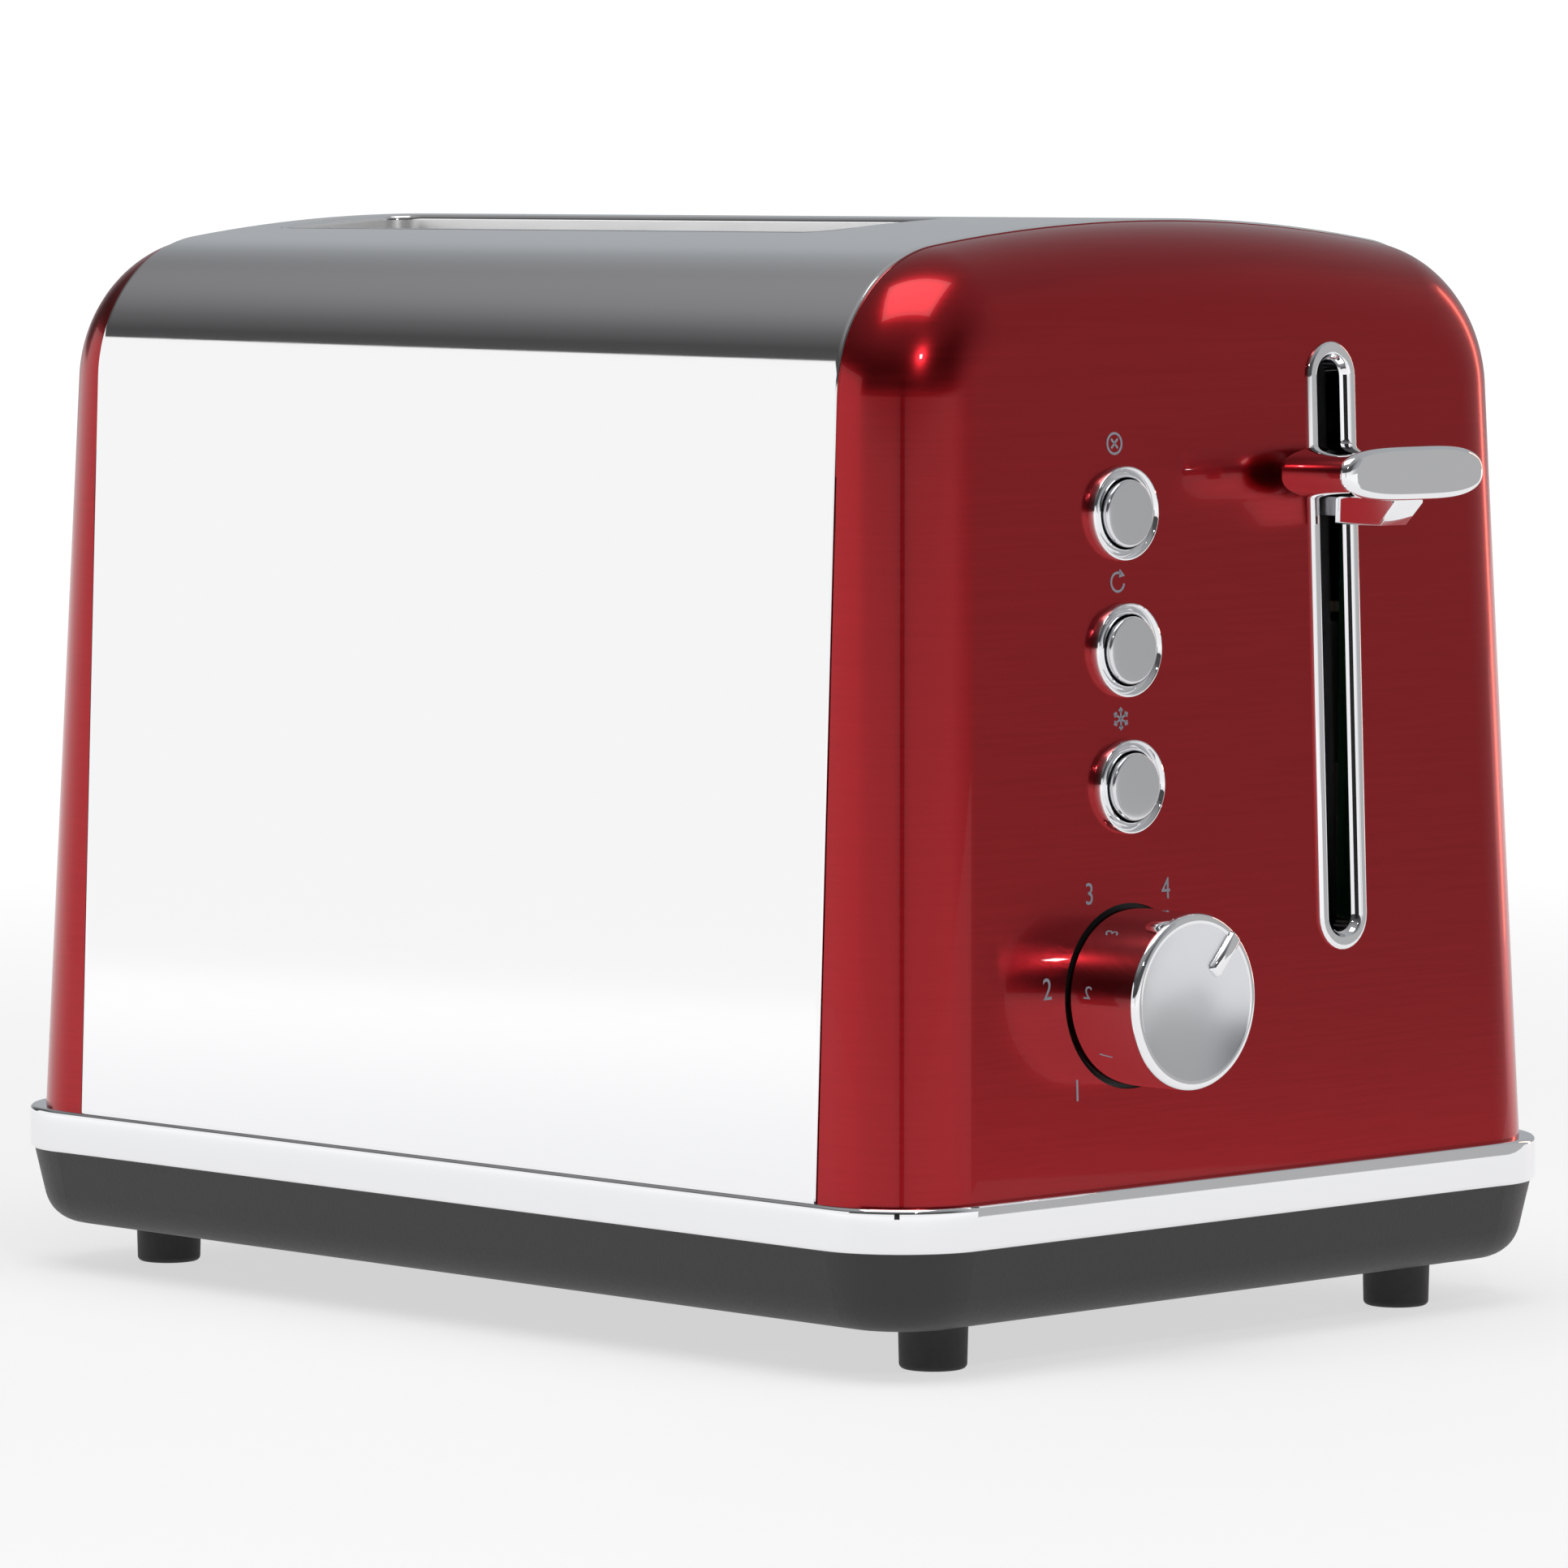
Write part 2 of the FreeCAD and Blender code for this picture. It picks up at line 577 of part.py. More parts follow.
# ---- holding magnet and power contacts on the lower bracket ----
magnet_base = plate_bottom + 2.0
magnet_top = armature_low - travel_down - 0.4
core_x = rod_x
core = rod_along_z(3.5, core_x, armature_y, magnet_base, magnet_top)
core = core.fuse(box(core_x - 9.0, core_x + 9.0, armature_y - 8.0, armature_y + 8.0, magnet_base, magnet_base + 1.5))
save("magnet_core", core.removeSplitter())
winding = rod_along_z(7.5, core_x, armature_y, magnet_base + 1.5, magnet_top - 1.0)
winding = winding.cut(rod_along_z(3.6, core_x, armature_y, magnet_base, magnet_top))
save("magnet_coil", winding)
contact_block = box(core_x - 8.0, core_x + 8.0, 11.0, 29.0, magnet_base, magnet_base + 8.0)
save("contact_block", contact_block)
leaves = []
for y in (14.0, 22.0):
    leaf = box(core_x - 5.0, core_x + 7.0, y, y + 4.0, magnet_base + 8.0, magnet_base + 8.5)
    tip = box(core_x + 4.0, core_x + 6.5, y + 0.5, y + 3.5, magnet_base + 8.5, magnet_base + 9.5)
    leaves.append(leaf.fuse(tip))
save("contact_leaves", Part.makeCompound(leaves))

# ---- control board on posts, with its relay and timer control ----
circuit_front = circuit_x + circuit_thick
circuit = box(circuit_x, circuit_front, -62.0, 12.0, 40.0, 160.0)
save("control_board", circuit)
posts = []
for y, z in ((-57.0, 46.0), (-57.0, 154.0), (-14.0, 154.0)):
    posts.append(rod_along_x(2.6, bracket_rear, circuit_x, y, z))
save("board_posts", Part.makeCompound(posts))
relay = box(circuit_x - 15.0, circuit_x, -60.0, -38.0, 64.0, 84.0)
save("power_relay", relay)

control_front = circuit_front + 6.0
bush_end = control_front + 4.0
control = box(circuit_front, control_front, knob_y - 8.0, knob_y + 8.0, knob_z - 8.0, knob_z + 8.0)
control = control.fuse(rod_along_x(4.6, control_front, bush_end, knob_y, knob_z))
control = control.cut(rod_along_x(shaft_radius + running_gap, control_front - 3.0, bush_end + 1.0, knob_y, knob_z))
save("timer_control", control.removeSplitter())

# ---- browning knob, its shaft and the dark well behind it ----
well = rod_along_x(knob_recess_radius + 3.0, seam_x, half_length + 5.0, knob_y, knob_z)
well = well.common(end_slab(-(cap_step + cap_wall), cap_step + cap_wall + 1.5, knob_y - 30.0, knob_y + 30.0,
                            knob_z - 30.0, knob_z + 30.0))
well = well.cut(rod_along_x(shaft_radius + 4.0, seam_x, half_length + 5.0, knob_y, knob_z))
save("knob_well", well)
knob_front = wall_x(knob_z) + knob_reach
knob_back = wall_x(knob_z) - knob_sink
knob = rod_along_x(knob_radius, knob_back, knob_front, knob_y, knob_z)
knob = knob.makeFillet(0.9, [e for e in knob.Edges if all(abs(v.X - knob_front) < 0.01 for v in e.Vertexes)])
cup = rod_along_x(knob_radius - 2.0, knob_back - 1.0, knob_front - 3.0, knob_y, knob_z)
hub = rod_along_x(5.4, knob_back - 2.0, knob_front, knob_y, knob_z)
knob = knob.cut(cup.cut(hub))
shaft_end = knob_front - 5.0
knob = knob.cut(rod_along_x(shaft_radius + running_gap, knob_back - 1.0, shaft_end, knob_y, knob_z))
pointer = box(knob_front - 1.0, knob_front + pointer_rise, knob_y - 1.0, knob_y + 1.0,
              knob_z + knob_radius * 0.42, knob_z + knob_radius - 0.9)
pointer.rotate(V(0, knob_y, knob_z), V(1, 0, 0), -pointer_deg)
knob = knob.fuse(pointer)
save("browning_knob", knob.removeSplitter())
save("timer_shaft", rod_along_x(shaft_radius, control_front - 2.5, shaft_end, knob_y, knob_z))

# ---- push buttons, their rings and the switches they press ----
switch_front = circuit_front + 4.0
plunger_front = switch_front + 1.0
button_rings = []
push_switches = []
for name, z in zip(("cancel", "reheat", "defrost"), button_heights):
    face_x = wall_x(z)
    flange = rod_along_x(button_ring_radius, seam_x, half_length + 10.0, button_y, z)
    flange = flange.common(end_slab(button_ring_proud, cap_step, button_y - 12.0, button_y + 12.0, z - 12.0, z + 12.0))
    rim = [e for e in flange.Edges if all(v.X > face_x + button_ring_proud - 0.7 for v in e.Vertexes)]
    flange = flange.makeFillet(0.7, rim)
    neck = rod_along_x(button_neck, face_x - 9.0, face_x + 0.5, button_y, z)
    bezel = flange.fuse(neck).cut(rod_along_x(button_bore, seam_x, half_length + 10.0, button_y, z))
    button_rings.append(bezel.removeSplitter())
    front = face_x + button_proud
    button = rod_along_x(button_radius, face_x - 7.0, front, button_y, z)
    button = button.makeFillet(0.8, [e for e in button.Edges if all(v.X > front - 0.01 for v in e.Vertexes)])
    stem = rod_along_x(2.0, plunger_front + button_travel + 0.4, face_x - 6.5, button_y, z)
    save(name + "_button", button.fuse(stem).removeSplitter())
    switch = box(circuit_front, switch_front, button_y - 3.1, button_y + 3.1, z - 3.1, z + 3.1)
    switch = switch.fuse(rod_along_x(1.7, switch_front, plunger_front, button_y, z))
    push_switches.append(switch.removeSplitter())
save("button_rings", Part.makeCompound(button_rings))
save("push_switches", Part.makeCompound(push_switches))

# ---- bright ring round the lever slot ----
flange = stadium_along_x(seam_x, half_length + 10.0, lever_y, ring_width, ring_low, ring_high)
flange = flange.common(end_slab(ring_proud, cap_step, lever_y - 20.0, lever_y + 20.0, ring_low - 5.0, ring_high + 5.0))
neck = stadium_along_x(seam_x, half_length + 10.0, lever_y, neck_width,
                       ring_low + ring_border - 0.8, ring_high - ring_border + 0.8)
neck = neck.common(end_slab(0.0, cap_step + cap_wall + 1.5, lever_y - 20.0, lever_y + 20.0,
                            ring_low - 5.0, ring_high + 5.0))
hollow = stadium_along_x(seam_x - 5.0, half_length + 15.0, lever_y, ring_opening,
                         ring_low + ring_border, ring_high - ring_border)
ring = flange.fuse(neck).cut(hollow)
save("lever_slot_ring", ring.removeSplitter())

# ---- mains terminal block on the rear inner plate ----
terminal = box(rear_plate_x - plate_thick - 12.0, rear_plate_x - plate_thick, -66.0, -40.0, 32.0, 46.0)
for y in (-61.0, -53.0, -45.0):
    terminal = terminal.cut(rod_along_z(2.0, rear_plate_x - plate_thick - 6.0, y, 42.0, 47.0))
save("terminal_block", terminal)

# ---- crumb tray and its pull ----
tray_z = floor_z + 0.2
pan = box(tray_rear_x, tray_front_x - 1.0, -tray_half_width, tray_half_width, tray_z, tray_z + tray_depth)
hollow = box(tray_rear_x + tray_sheet, tray_front_x - 1.0 - tray_sheet, -tray_half_width + tray_sheet,
             tray_half_width - tray_sheet, tray_z + tray_sheet, tray_z + tray_depth + 1.0)
save("crumb_tray", pan.cut(hollow))
pull = base_outer.common(box(rear_reach, tray_rear_x, -tray_half_width, tray_half_width,
                             tray_z, tray_z + tray_door_height - 0.6))
grip = box(rear_reach, tray_rear_x - 3.0, -16.0, 16.0, tray_z + 2.6, tray_z + 5.4)
save("tray_pull", pull.cut(grip))
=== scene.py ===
import bpy
import bmesh
import math
from mathutils import Vector, Matrix
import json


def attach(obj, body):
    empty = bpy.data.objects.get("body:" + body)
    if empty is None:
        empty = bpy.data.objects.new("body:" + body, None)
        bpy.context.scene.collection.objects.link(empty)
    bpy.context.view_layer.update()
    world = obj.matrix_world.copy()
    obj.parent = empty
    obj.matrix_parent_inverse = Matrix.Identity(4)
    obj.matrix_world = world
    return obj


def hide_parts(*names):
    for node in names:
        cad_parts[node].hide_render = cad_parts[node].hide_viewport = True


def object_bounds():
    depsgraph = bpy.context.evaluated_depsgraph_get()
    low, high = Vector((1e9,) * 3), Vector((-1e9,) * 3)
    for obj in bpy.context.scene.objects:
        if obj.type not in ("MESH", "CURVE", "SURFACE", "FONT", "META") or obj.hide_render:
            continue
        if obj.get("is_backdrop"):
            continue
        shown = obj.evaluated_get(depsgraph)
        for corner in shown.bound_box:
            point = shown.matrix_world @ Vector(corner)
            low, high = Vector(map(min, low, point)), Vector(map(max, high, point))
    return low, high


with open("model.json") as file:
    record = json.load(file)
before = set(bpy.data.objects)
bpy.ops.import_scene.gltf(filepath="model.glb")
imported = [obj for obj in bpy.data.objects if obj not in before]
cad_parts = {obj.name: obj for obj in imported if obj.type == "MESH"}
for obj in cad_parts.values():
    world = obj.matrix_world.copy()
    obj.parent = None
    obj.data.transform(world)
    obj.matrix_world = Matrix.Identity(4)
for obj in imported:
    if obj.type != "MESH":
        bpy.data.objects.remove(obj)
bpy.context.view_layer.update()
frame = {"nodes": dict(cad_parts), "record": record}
MM = 0.001

# ---------------------------------------------------------------- stainless wrap
# One polished stainless sheet over both long sides and the top, hemmed at both
# ends and folded down into the two bread slots. It hooks over the end caps.
SHIFT = -7.05                       # moves body-centred lengths into the frame
HALF_LENGTH = 118.4
HALF_WIDTH = 83.3
HEIGHT = 195.0
DRAFT = math.radians(2.08)
LEAN = math.tan(DRAFT)
SHOULDER = 26.7                     # radius where a side turns into the top
CROWN = 388.0                       # radius of the slightly arched top
BAND_TOP = 30.15
SEAM = 96.8                         # from the middle to either end of the sheet
SMOOTH_ANGLE = 35


def wall_x(z):
    # the end wall leans in as it rises
    return HALF_LENGTH - (z - BAND_TOP) * LEAN


def section(inset, sides=10, round_steps=28, crown_steps=13):
    # one cut across the body: side wall, shoulder arc, crown arc, and back down
    zc = HEIGHT - CROWN
    a = HALF_WIDTH - SHOULDER / math.cos(DRAFT)
    drop = BAND_TOP - zc
    qa = 1 + LEAN * LEAN
    qb = 2 * (drop - a * LEAN)
    qc = a * a + drop * drop - (CROWN - SHOULDER) ** 2
    rise = (-qb + math.sqrt(qb * qb - 4 * qa * qc)) / (2 * qa)
    cy, cz = a - LEAN * rise, BAND_TOP + rise
    t1 = math.atan2(cz - zc, cy)
    r = SHOULDER - inset
    foot_y = HALF_WIDTH - inset / math.cos(DRAFT)
    top_y, top_z = cy + r * math.cos(DRAFT), cz + r * math.sin(DRAFT)
    half = [(foot_y + (top_y - foot_y) * i / sides,
             BAND_TOP + (top_z - BAND_TOP) * i / sides) for i in range(sides)]
    for i in range(round_steps):
        t = DRAFT + (t1 - DRAFT) * i / round_steps
        half.append((cy + r * math.cos(t), cz + r * math.sin(t)))
    for i in range(crown_steps):
        t = t1 + (math.pi / 2 - t1) * i / crown_steps
        half.append(((CROWN - inset) * math.cos(t), zc + (CROWN - inset) * math.sin(t)))
    left = [(-y, z) for y, z in half]
    return left + [(0.0, HEIGHT - inset)] + half[::-1]


def shade(bm, angle):
    for e in bm.edges:
        e.smooth = len(e.link_faces) == 2 and e.calc_face_angle(0) < math.radians(angle)
    for f in bm.faces:
        f.smooth = True


def make(name, verts, faces, smooth=SMOOTH_ANGLE):
    # a mesh object from millimetre points, merged, turned outward and shaded
    me = bpy.data.meshes.new(name)
    me.from_pydata([((x + SHIFT) * MM, y * MM, z * MM) for x, y, z in verts], [], faces)
    bm = bmesh.new()
    bm.from_mesh(me)
    bmesh.ops.remove_doubles(bm, verts=bm.verts, dist=1e-7)
    bmesh.ops.dissolve_degenerate(bm, edges=bm.edges, dist=1e-8)
    bmesh.ops.recalc_face_normals(bm, faces=bm.faces)
    shade(bm, smooth)
    bm.to_mesh(me)
    bm.free()
    ob = bpy.data.objects.new(name, me)
    bpy.context.scene.collection.objects.link(ob)
    return ob


def grid_faces(rows, cols, wrap_cols=False, wrap_rows=False):
    # quads between neighbouring rows of points; either way can close on itself
    faces = []
    for i in range(rows if wrap_rows else rows - 1):
        for j in range(cols if wrap_cols else cols - 1):
            a, b = i % rows, (i + 1) % rows
            c, d = j % cols, (j + 1) % cols
            faces.append((a * cols + c, a * cols + d, b * cols + d, b * cols + c))
    return faces


def joined(parts):
    verts, faces = [], []
    for v, f in parts:
        k = len(verts)
        verts += v
        faces += [tuple(i + k for i in q) for q in f]
    return verts, faces


def principled(name, color, metallic=0.0, rough=0.4, coat=0.0, coat_rough=0.05):
    m = bpy.data.materials.new(name)
    m.use_nodes = True
    p = m.node_tree.nodes["Principled BSDF"]
    p.inputs["Base Color"].default_value = (*color, 1)
    p.inputs["Metallic"].default_value = metallic
    p.inputs["Roughness"].default_value = rough
    p.inputs["Coat Weight"].default_value = coat
    p.inputs["Coat Roughness"].default_value = coat_rough
    return m, m.node_tree, p


def textured(m, scale, low, high, stretch=(1, 1, 1), bump=0.0, detail=4.0):
    # uneven gloss from low to high roughness, with a fine relief if asked for
    nt = m.node_tree
    p = nt.nodes["Principled BSDF"]
    co = nt.nodes.new("ShaderNodeTexCoord")
    mp = nt.nodes.new("ShaderNodeMapping")
    mp.inputs["Scale"].default_value = stretch
    nz = nt.nodes.new("ShaderNodeTexNoise")
    nz.inputs["Scale"].default_value = scale
    nz.inputs["Detail"].default_value = detail
    nt.links.new(co.outputs["Object"], mp.inputs["Vector"])
    nt.links.new(mp.outputs["Vector"], nz.inputs["Vector"])
    mr = nt.nodes.new("ShaderNodeMapRange")
    mr.inputs["To Min"].default_value = low
    mr.inputs["To Max"].default_value = high
    nt.links.new(nz.outputs["Fac"], mr.inputs["Value"])
    nt.links.new(mr.outputs["Result"], p.inputs["Roughness"])
    if bump:
        b = nt.nodes.new("ShaderNodeBump")
        b.inputs["Strength"].default_value = bump
        b.inputs["Distance"].default_value = 0.0002
        nt.links.new(nz.outputs["Fac"], b.inputs["Height"])
        nt.links.new(b.outputs["Normal"], p.inputs["Normal"])
    return nz


steel, _, _ = principled("polished steel", (0.91, 0.912, 0.918), 1.0, 0.06)
textured(steel, 60.0, 0.045, 0.085, stretch=(1, 1, 12))

satin, _, _ = principled("satin steel", (0.9, 0.9, 0.9), 1.0, 0.38)
textured(satin, 90.0, 0.34, 0.42, stretch=(1, 1, 8))

SLOT_Y = 26.5
SLOT_X0, SLOT_X1 = -88.0, 57.0
SLOT_W = 31.0
SLOT_R = 5.0
SLOT_EDGE = 1.0                     # room round a slot for the rolled edge
WRAP_T = 0.6


def rounded(x0, x1, y0, y1, r, steps=8):
    pts = []
    corners = ((x1 - r, y1 - r, 0), (x0 + r, y1 - r, 90),
               (x0 + r, y0 + r, 180), (x1 - r, y0 + r, 270))
    for cx, cy, a in corners:
        for i in range(steps + 1):
            t = math.radians(a + 90.0 * i / steps)
            pts.append((cx + r * math.cos(t), cy + r * math.sin(t)))
    return pts


def crown_z(y):
    return HEIGHT - CROWN + math.sqrt(CROWN ** 2 - y * y)


hem = [(SEAM - 0.9, 0.0), (SEAM - 0.45, 0.0), (SEAM - 0.16, 0.1),
       (SEAM, 0.34), (SEAM - 0.05, 0.5), (SEAM - 0.2, WRAP_T)]
path = [(-x, i) for x, i in hem[::-1]] + hem
verts = []
for x, inset in path:
    verts += [(x, y, z) for y, z in section(inset)]
cols = len(section(0.0))
foot_edges = [tuple(i * cols for i in range(len(path))),
              tuple(i * cols + cols - 1 for i in range(len(path)))[::-1]]
wrap = make("wrap_visual", verts, grid_faces(len(path), cols, wrap_rows=True) + foot_edges)
for side in (-1, 1):
    y0 = side * SLOT_Y - SLOT_W / 2 - SLOT_EDGE
    ring = rounded(SLOT_X0 - SLOT_EDGE, SLOT_X1 + SLOT_EDGE, y0, y0 + SLOT_W + 2 * SLOT_EDGE,
                   SLOT_R + SLOT_EDGE)
    n = len(ring)
    v = [(x, y, z) for z in (HEIGHT - 25.0, HEIGHT + 5.0) for x, y in ring]
    caps = [tuple(range(n)), tuple(range(n, 2 * n))]
    cutter = make("cutter", v, grid_faces(2, n, wrap_cols=True) + caps)
    mod = wrap.modifiers.new("slot", "BOOLEAN")
    mod.object = cutter
    mod.operation = "DIFFERENCE"
    mod.solver = "EXACT"
    wrap_cut = wrap.evaluated_get(bpy.context.evaluated_depsgraph_get())
    me = bpy.data.meshes.new_from_object(wrap_cut)
    wrap.modifiers.remove(mod)
    wrap.data = me
    bpy.data.objects.remove(cutter)
bm = bmesh.new()
bm.from_mesh(wrap.data)
FOLD = 9.5                          # how far the slot edge is folded down
for side in (-1, 1):
    yc = side * SLOT_Y
    loops = [(1.7, 0.03), (0.9, 0.03), (0.42, -0.12), (0.12, -0.42), (0.0, -0.9),
             (0.0, -FOLD), (WRAP_T, -FOLD), (WRAP_T, -2.0)]
    rows = []
    for grow, dz in loops:
        ring = rounded(SLOT_X0 - grow, SLOT_X1 + grow,
                       yc - SLOT_W / 2 - grow, yc + SLOT_W / 2 + grow, SLOT_R + grow)
        rows.append([bm.verts.new(((x + SHIFT) * MM, y * MM, (crown_z(y) + dz) * MM))
                     for x, y in ring])
    n = len(rows[0])
    for a, b in zip(rows, rows[1:] + rows[:1]):
        for j in range(n):
            f = bm.faces.new((a[j], a[(j + 1) % n], b[(j + 1) % n], b[j]))
            f.smooth = True
bmesh.ops.recalc_face_normals(bm, faces=bm.faces)
shade(bm, SMOOTH_ANGLE)
bm.to_mesh(wrap.data)
bm.free()
wrap.data.materials.clear()
wrap.data.materials.append(steel)
wrap.data.materials.append(satin)
for poly in wrap.data.polygons:
    c = poly.center / MM
    upright = c.z < HEIGHT - 1.2 and abs(poly.normal.z) < 0.3
    in_slot = abs(abs(c.y) - SLOT_Y) < 17 and SLOT_X0 - 3 < c.x - SHIFT < SLOT_X1 + 3
    if upright and in_slot:
        poly.material_index = 1
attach(wrap, "case")
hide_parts("wrap_shell")

# ---------------------------------------------------------------- red end caps
# Pressed sheet caps in metallic red lacquer over a fine horizontal grain. Each
# has a pillowed rim, stands on the trim band and tucks under the wrap's hem.
CAP_STEP = 0.4
CAP_GAP = 0.35
CAP_WALL = 1.2
CORNER = 17.0
RING_Y = 26.7
RING_LOW, RING_HIGH = 67.1, 173.5
RING_OVERLAP = 1.3                  # how far the slot ring covers the cut edge
BUTTON_Y = -27.0
BUTTON_Z = (145.0, 121.7, 98.4)
KNOB_Y, KNOB_Z = -27.5, 62.6

red, nt, p = principled("red lacquer", (0.36, 0.012, 0.018), 1.0, 0.24, 0.35, 0.02)
p.inputs["Coat Tint"].default_value = (1.0, 0.8, 0.8, 1)
grain = textured(red, 1500.0, 0.21, 0.27, stretch=(0.06, 0.03, 1.0), bump=0.015, detail=2.0)
mix = nt.nodes.new("ShaderNodeMix")
mix.data_type = "RGBA"
mix.inputs["A"].default_value = (0.34, 0.010, 0.015, 1)
mix.inputs["B"].default_value = (0.40, 0.014, 0.020, 1)
nt.links.new(grain.outputs["Fac"], mix.inputs["Factor"])
nt.links.new(mix.outputs["Result"], p.inputs["Base Color"])


def circle(y, z, r, n=48):
    turns = [2 * math.pi * i / n for i in range(n)]
    return [(y + r * math.cos(t), z + r * math.sin(t)) for t in turns]


def stadium(y, width, z0, z1, n=16):
    r = width / 2
    turns = [math.pi * i / n for i in range(n + 1)]
    pts = [(y + r * math.cos(t), z1 - r + r * math.sin(t)) for t in turns]
    return pts + [(y - r * math.cos(t), z0 + r - r * math.sin(t)) for t in turns]


def cap_mesh(holes):
    # an outer and an inner skin, joined at the rim, the foot and round each hole
    layers = []
    for c in (CAP_STEP, CAP_STEP + CAP_WALL):
        r = CORNER - c
        rows = []
        cx = SEAM + CAP_GAP
        steps = 20
        for k in range(4):
            rows.append([(cx + (wall_x(z) - c - r - cx) * k / 4, y, z) for y, z in section(c)])
        for k in range(steps + 1):
            t = math.pi / 2 * k / steps
            rows.append([(wall_x(z) - c - r + r * math.sin(t), y, z)
                         for y, z in section(c + r * (1 - math.cos(t)))])
        rows.append([(wall_x(z) - c, y, z) for y, z in section(c + r + 0.8)])
        layers.append(rows)
    bm = bmesh.new()
    made = [[[bm.verts.new(v) for v in row] for row in rows] for rows in layers]
    for rows in made:
        for a, b in zip(rows, rows[1:]):
            for j in range(len(a) - 1):
                bm.faces.new((a[j], a[j + 1], b[j + 1], b[j]))
    outer, inner = made
    a, b = outer[0], inner[0]
    for j in range(len(a) - 1):
        bm.faces.new((a[j], a[j + 1], b[j + 1], b[j]))
    for j in (0, -1):
        for i in range(len(outer) - 1):
            bm.faces.new((outer[i][j], outer[i + 1][j], inner[i + 1][j], inner[i][j]))
    bm.faces.new((outer[-1][0], outer[-1][-1], inner[-1][-1], inner[-1][0]))
    loops = []
    for rows, c in ((outer, CAP_STEP), (inner, CAP_STEP + CAP_WALL)):
        last = rows[-1]
        edges = [bm.edges.get((last[j], last[j + 1])) for j in range(len(last) - 1)]
        edges.append(bm.edges.get((last[0], last[-1])))
        rings = []
        for hole in holes:
            ring = [bm.verts.new((wall_x(z) - c, y, z)) for y, z in hole]
            edges += [bm.edges.new((ring[i], ring[(i + 1) % len(ring)]))
                      for i in range(len(ring))]
            rings.append(ring)
        bmesh.ops.triangle_fill(bm, use_beauty=True, use_dissolve=False, edges=edges)
        loops.append(rings)
    for a, b in zip(*loops):
        for i in range(len(a)):
            bm.faces.new((a[i], a[(i + 1) % len(a)], b[(i + 1) % len(a)], b[i]))
    bm.verts.index_update()
    v = [tuple(q.co) for q in bm.verts]
    f = [tuple(q.index for q in face.verts) for face in bm.faces]
    bm.free()
    return v, f


def tongue(c=0.95, wall=1.0):
    # the cap's edge that reaches in under the wrap
    rows = []
    tip, root = SEAM - 6, SEAM + 2.5
    for x, inset in ((tip, c), (root, c), (root, c + wall), (tip, c + wall)):
        rows += [(x, y, z) for y, z in section(inset)]
    n = len(section(c))
    ends = [(0, n, 2 * n, 3 * n), (4 * n - 1, 3 * n - 1, 2 * n - 1, n - 1)]
    return rows, grid_faces(4, n, wrap_rows=True) + ends


SLOT_CUT_WIDTH = 8.9
KNOB_CUT_R, BUTTON_CUT_R = 15.9, 7.1
holes = [stadium(RING_Y, SLOT_CUT_WIDTH, RING_LOW + RING_OVERLAP, RING_HIGH - RING_OVERLAP),
         circle(KNOB_Y, KNOB_Z, KNOB_CUT_R, 72)]
holes += [circle(BUTTON_Y, z, BUTTON_CUT_R) for z in BUTTON_Z]
front = make("front_cap_visual", *joined([cap_mesh(holes), tongue()]))
v, f = joined([cap_mesh([]), tongue()])
rear = make("rear_cap_visual", [(-x, y, z) for x, y, z in v], f)
for ob, node in ((front, "front_end_cap"), (rear, "rear_end_cap")):
    ob.data.materials.append(red)
    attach(ob, "case")
    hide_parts(node)

# ---------------------------------------------------------------- printed marks on the control end
# Thin grey screen print on the lacquer: the dial numbers and one generic sign
# over each button, in place of words.
ink, _, _ = principled("grey print", (0.28, 0.28, 0.33), 0.0, 0.45)
INK_TOP, INK_FOOT = 0.06, 0.005     # how proud the print stands on the lacquer


def on_face(y, z, lift):
    return (wall_x(z) - CAP_STEP + lift, y, z)


def mark(poly):
    # one outline on the end wall, given the thickness of the print
    n = len(poly)
    verts = [on_face(y, z, lift) for lift in (INK_TOP, INK_FOOT) for y, z in poly]
    faces = [tuple(range(n)), tuple(range(2 * n - 1, n - 1, -1))]
    faces += [(i, (i + 1) % n, n + (i + 1) % n, n + i) for i in range(n)]
    return verts, faces


def stroke(y0, z0, y1, z1, w=0.42):
    dy, dz = y1 - y0, z1 - z0
    d = math.hypot(dy, dz)
    ny, nz = -dz / d * w / 2, dy / d * w / 2
    return [(y0 + ny, z0 + nz), (y1 + ny, z1 + nz), (y1 - ny, z1 - nz), (y0 - ny, z0 - nz)]


def arc(y, z, r, a0, a1, w=0.42, n=26):
    polys = []
    near, far = r - w / 2, r + w / 2
    for i in range(n):
        t0, t1 = (math.radians(a0 + (a1 - a0) * k / n) for k in (i, i + 1))
        polys.append([(y + q * math.cos(t), z + q * math.sin(t))
                      for q, t in ((near, t0), (far, t0), (far, t1), (near, t1))])
    return polys


# cancel: a cross in a circle
y, z = BUTTON_Y - 1.1, BUTTON_Z[0] + 11.9
ARM = 0.8
signs = arc(y, z, 1.75, 0, 360)
signs += [stroke(y - ARM, z - ARM, y + ARM, z + ARM), stroke(y - ARM, z + ARM, y + ARM, z - ARM)]
# reheat: an open circle with an arrow head
z = BUTTON_Z[1] + 11.6
arrow = [(y + 1.6 * math.cos(math.radians(60)) + 1.0, z + 1.05),
         (y + 0.55, z + 2.25), (y + 0.35, z + 0.75)]
signs += arc(y, z, 1.6, 60, 350) + [arrow]
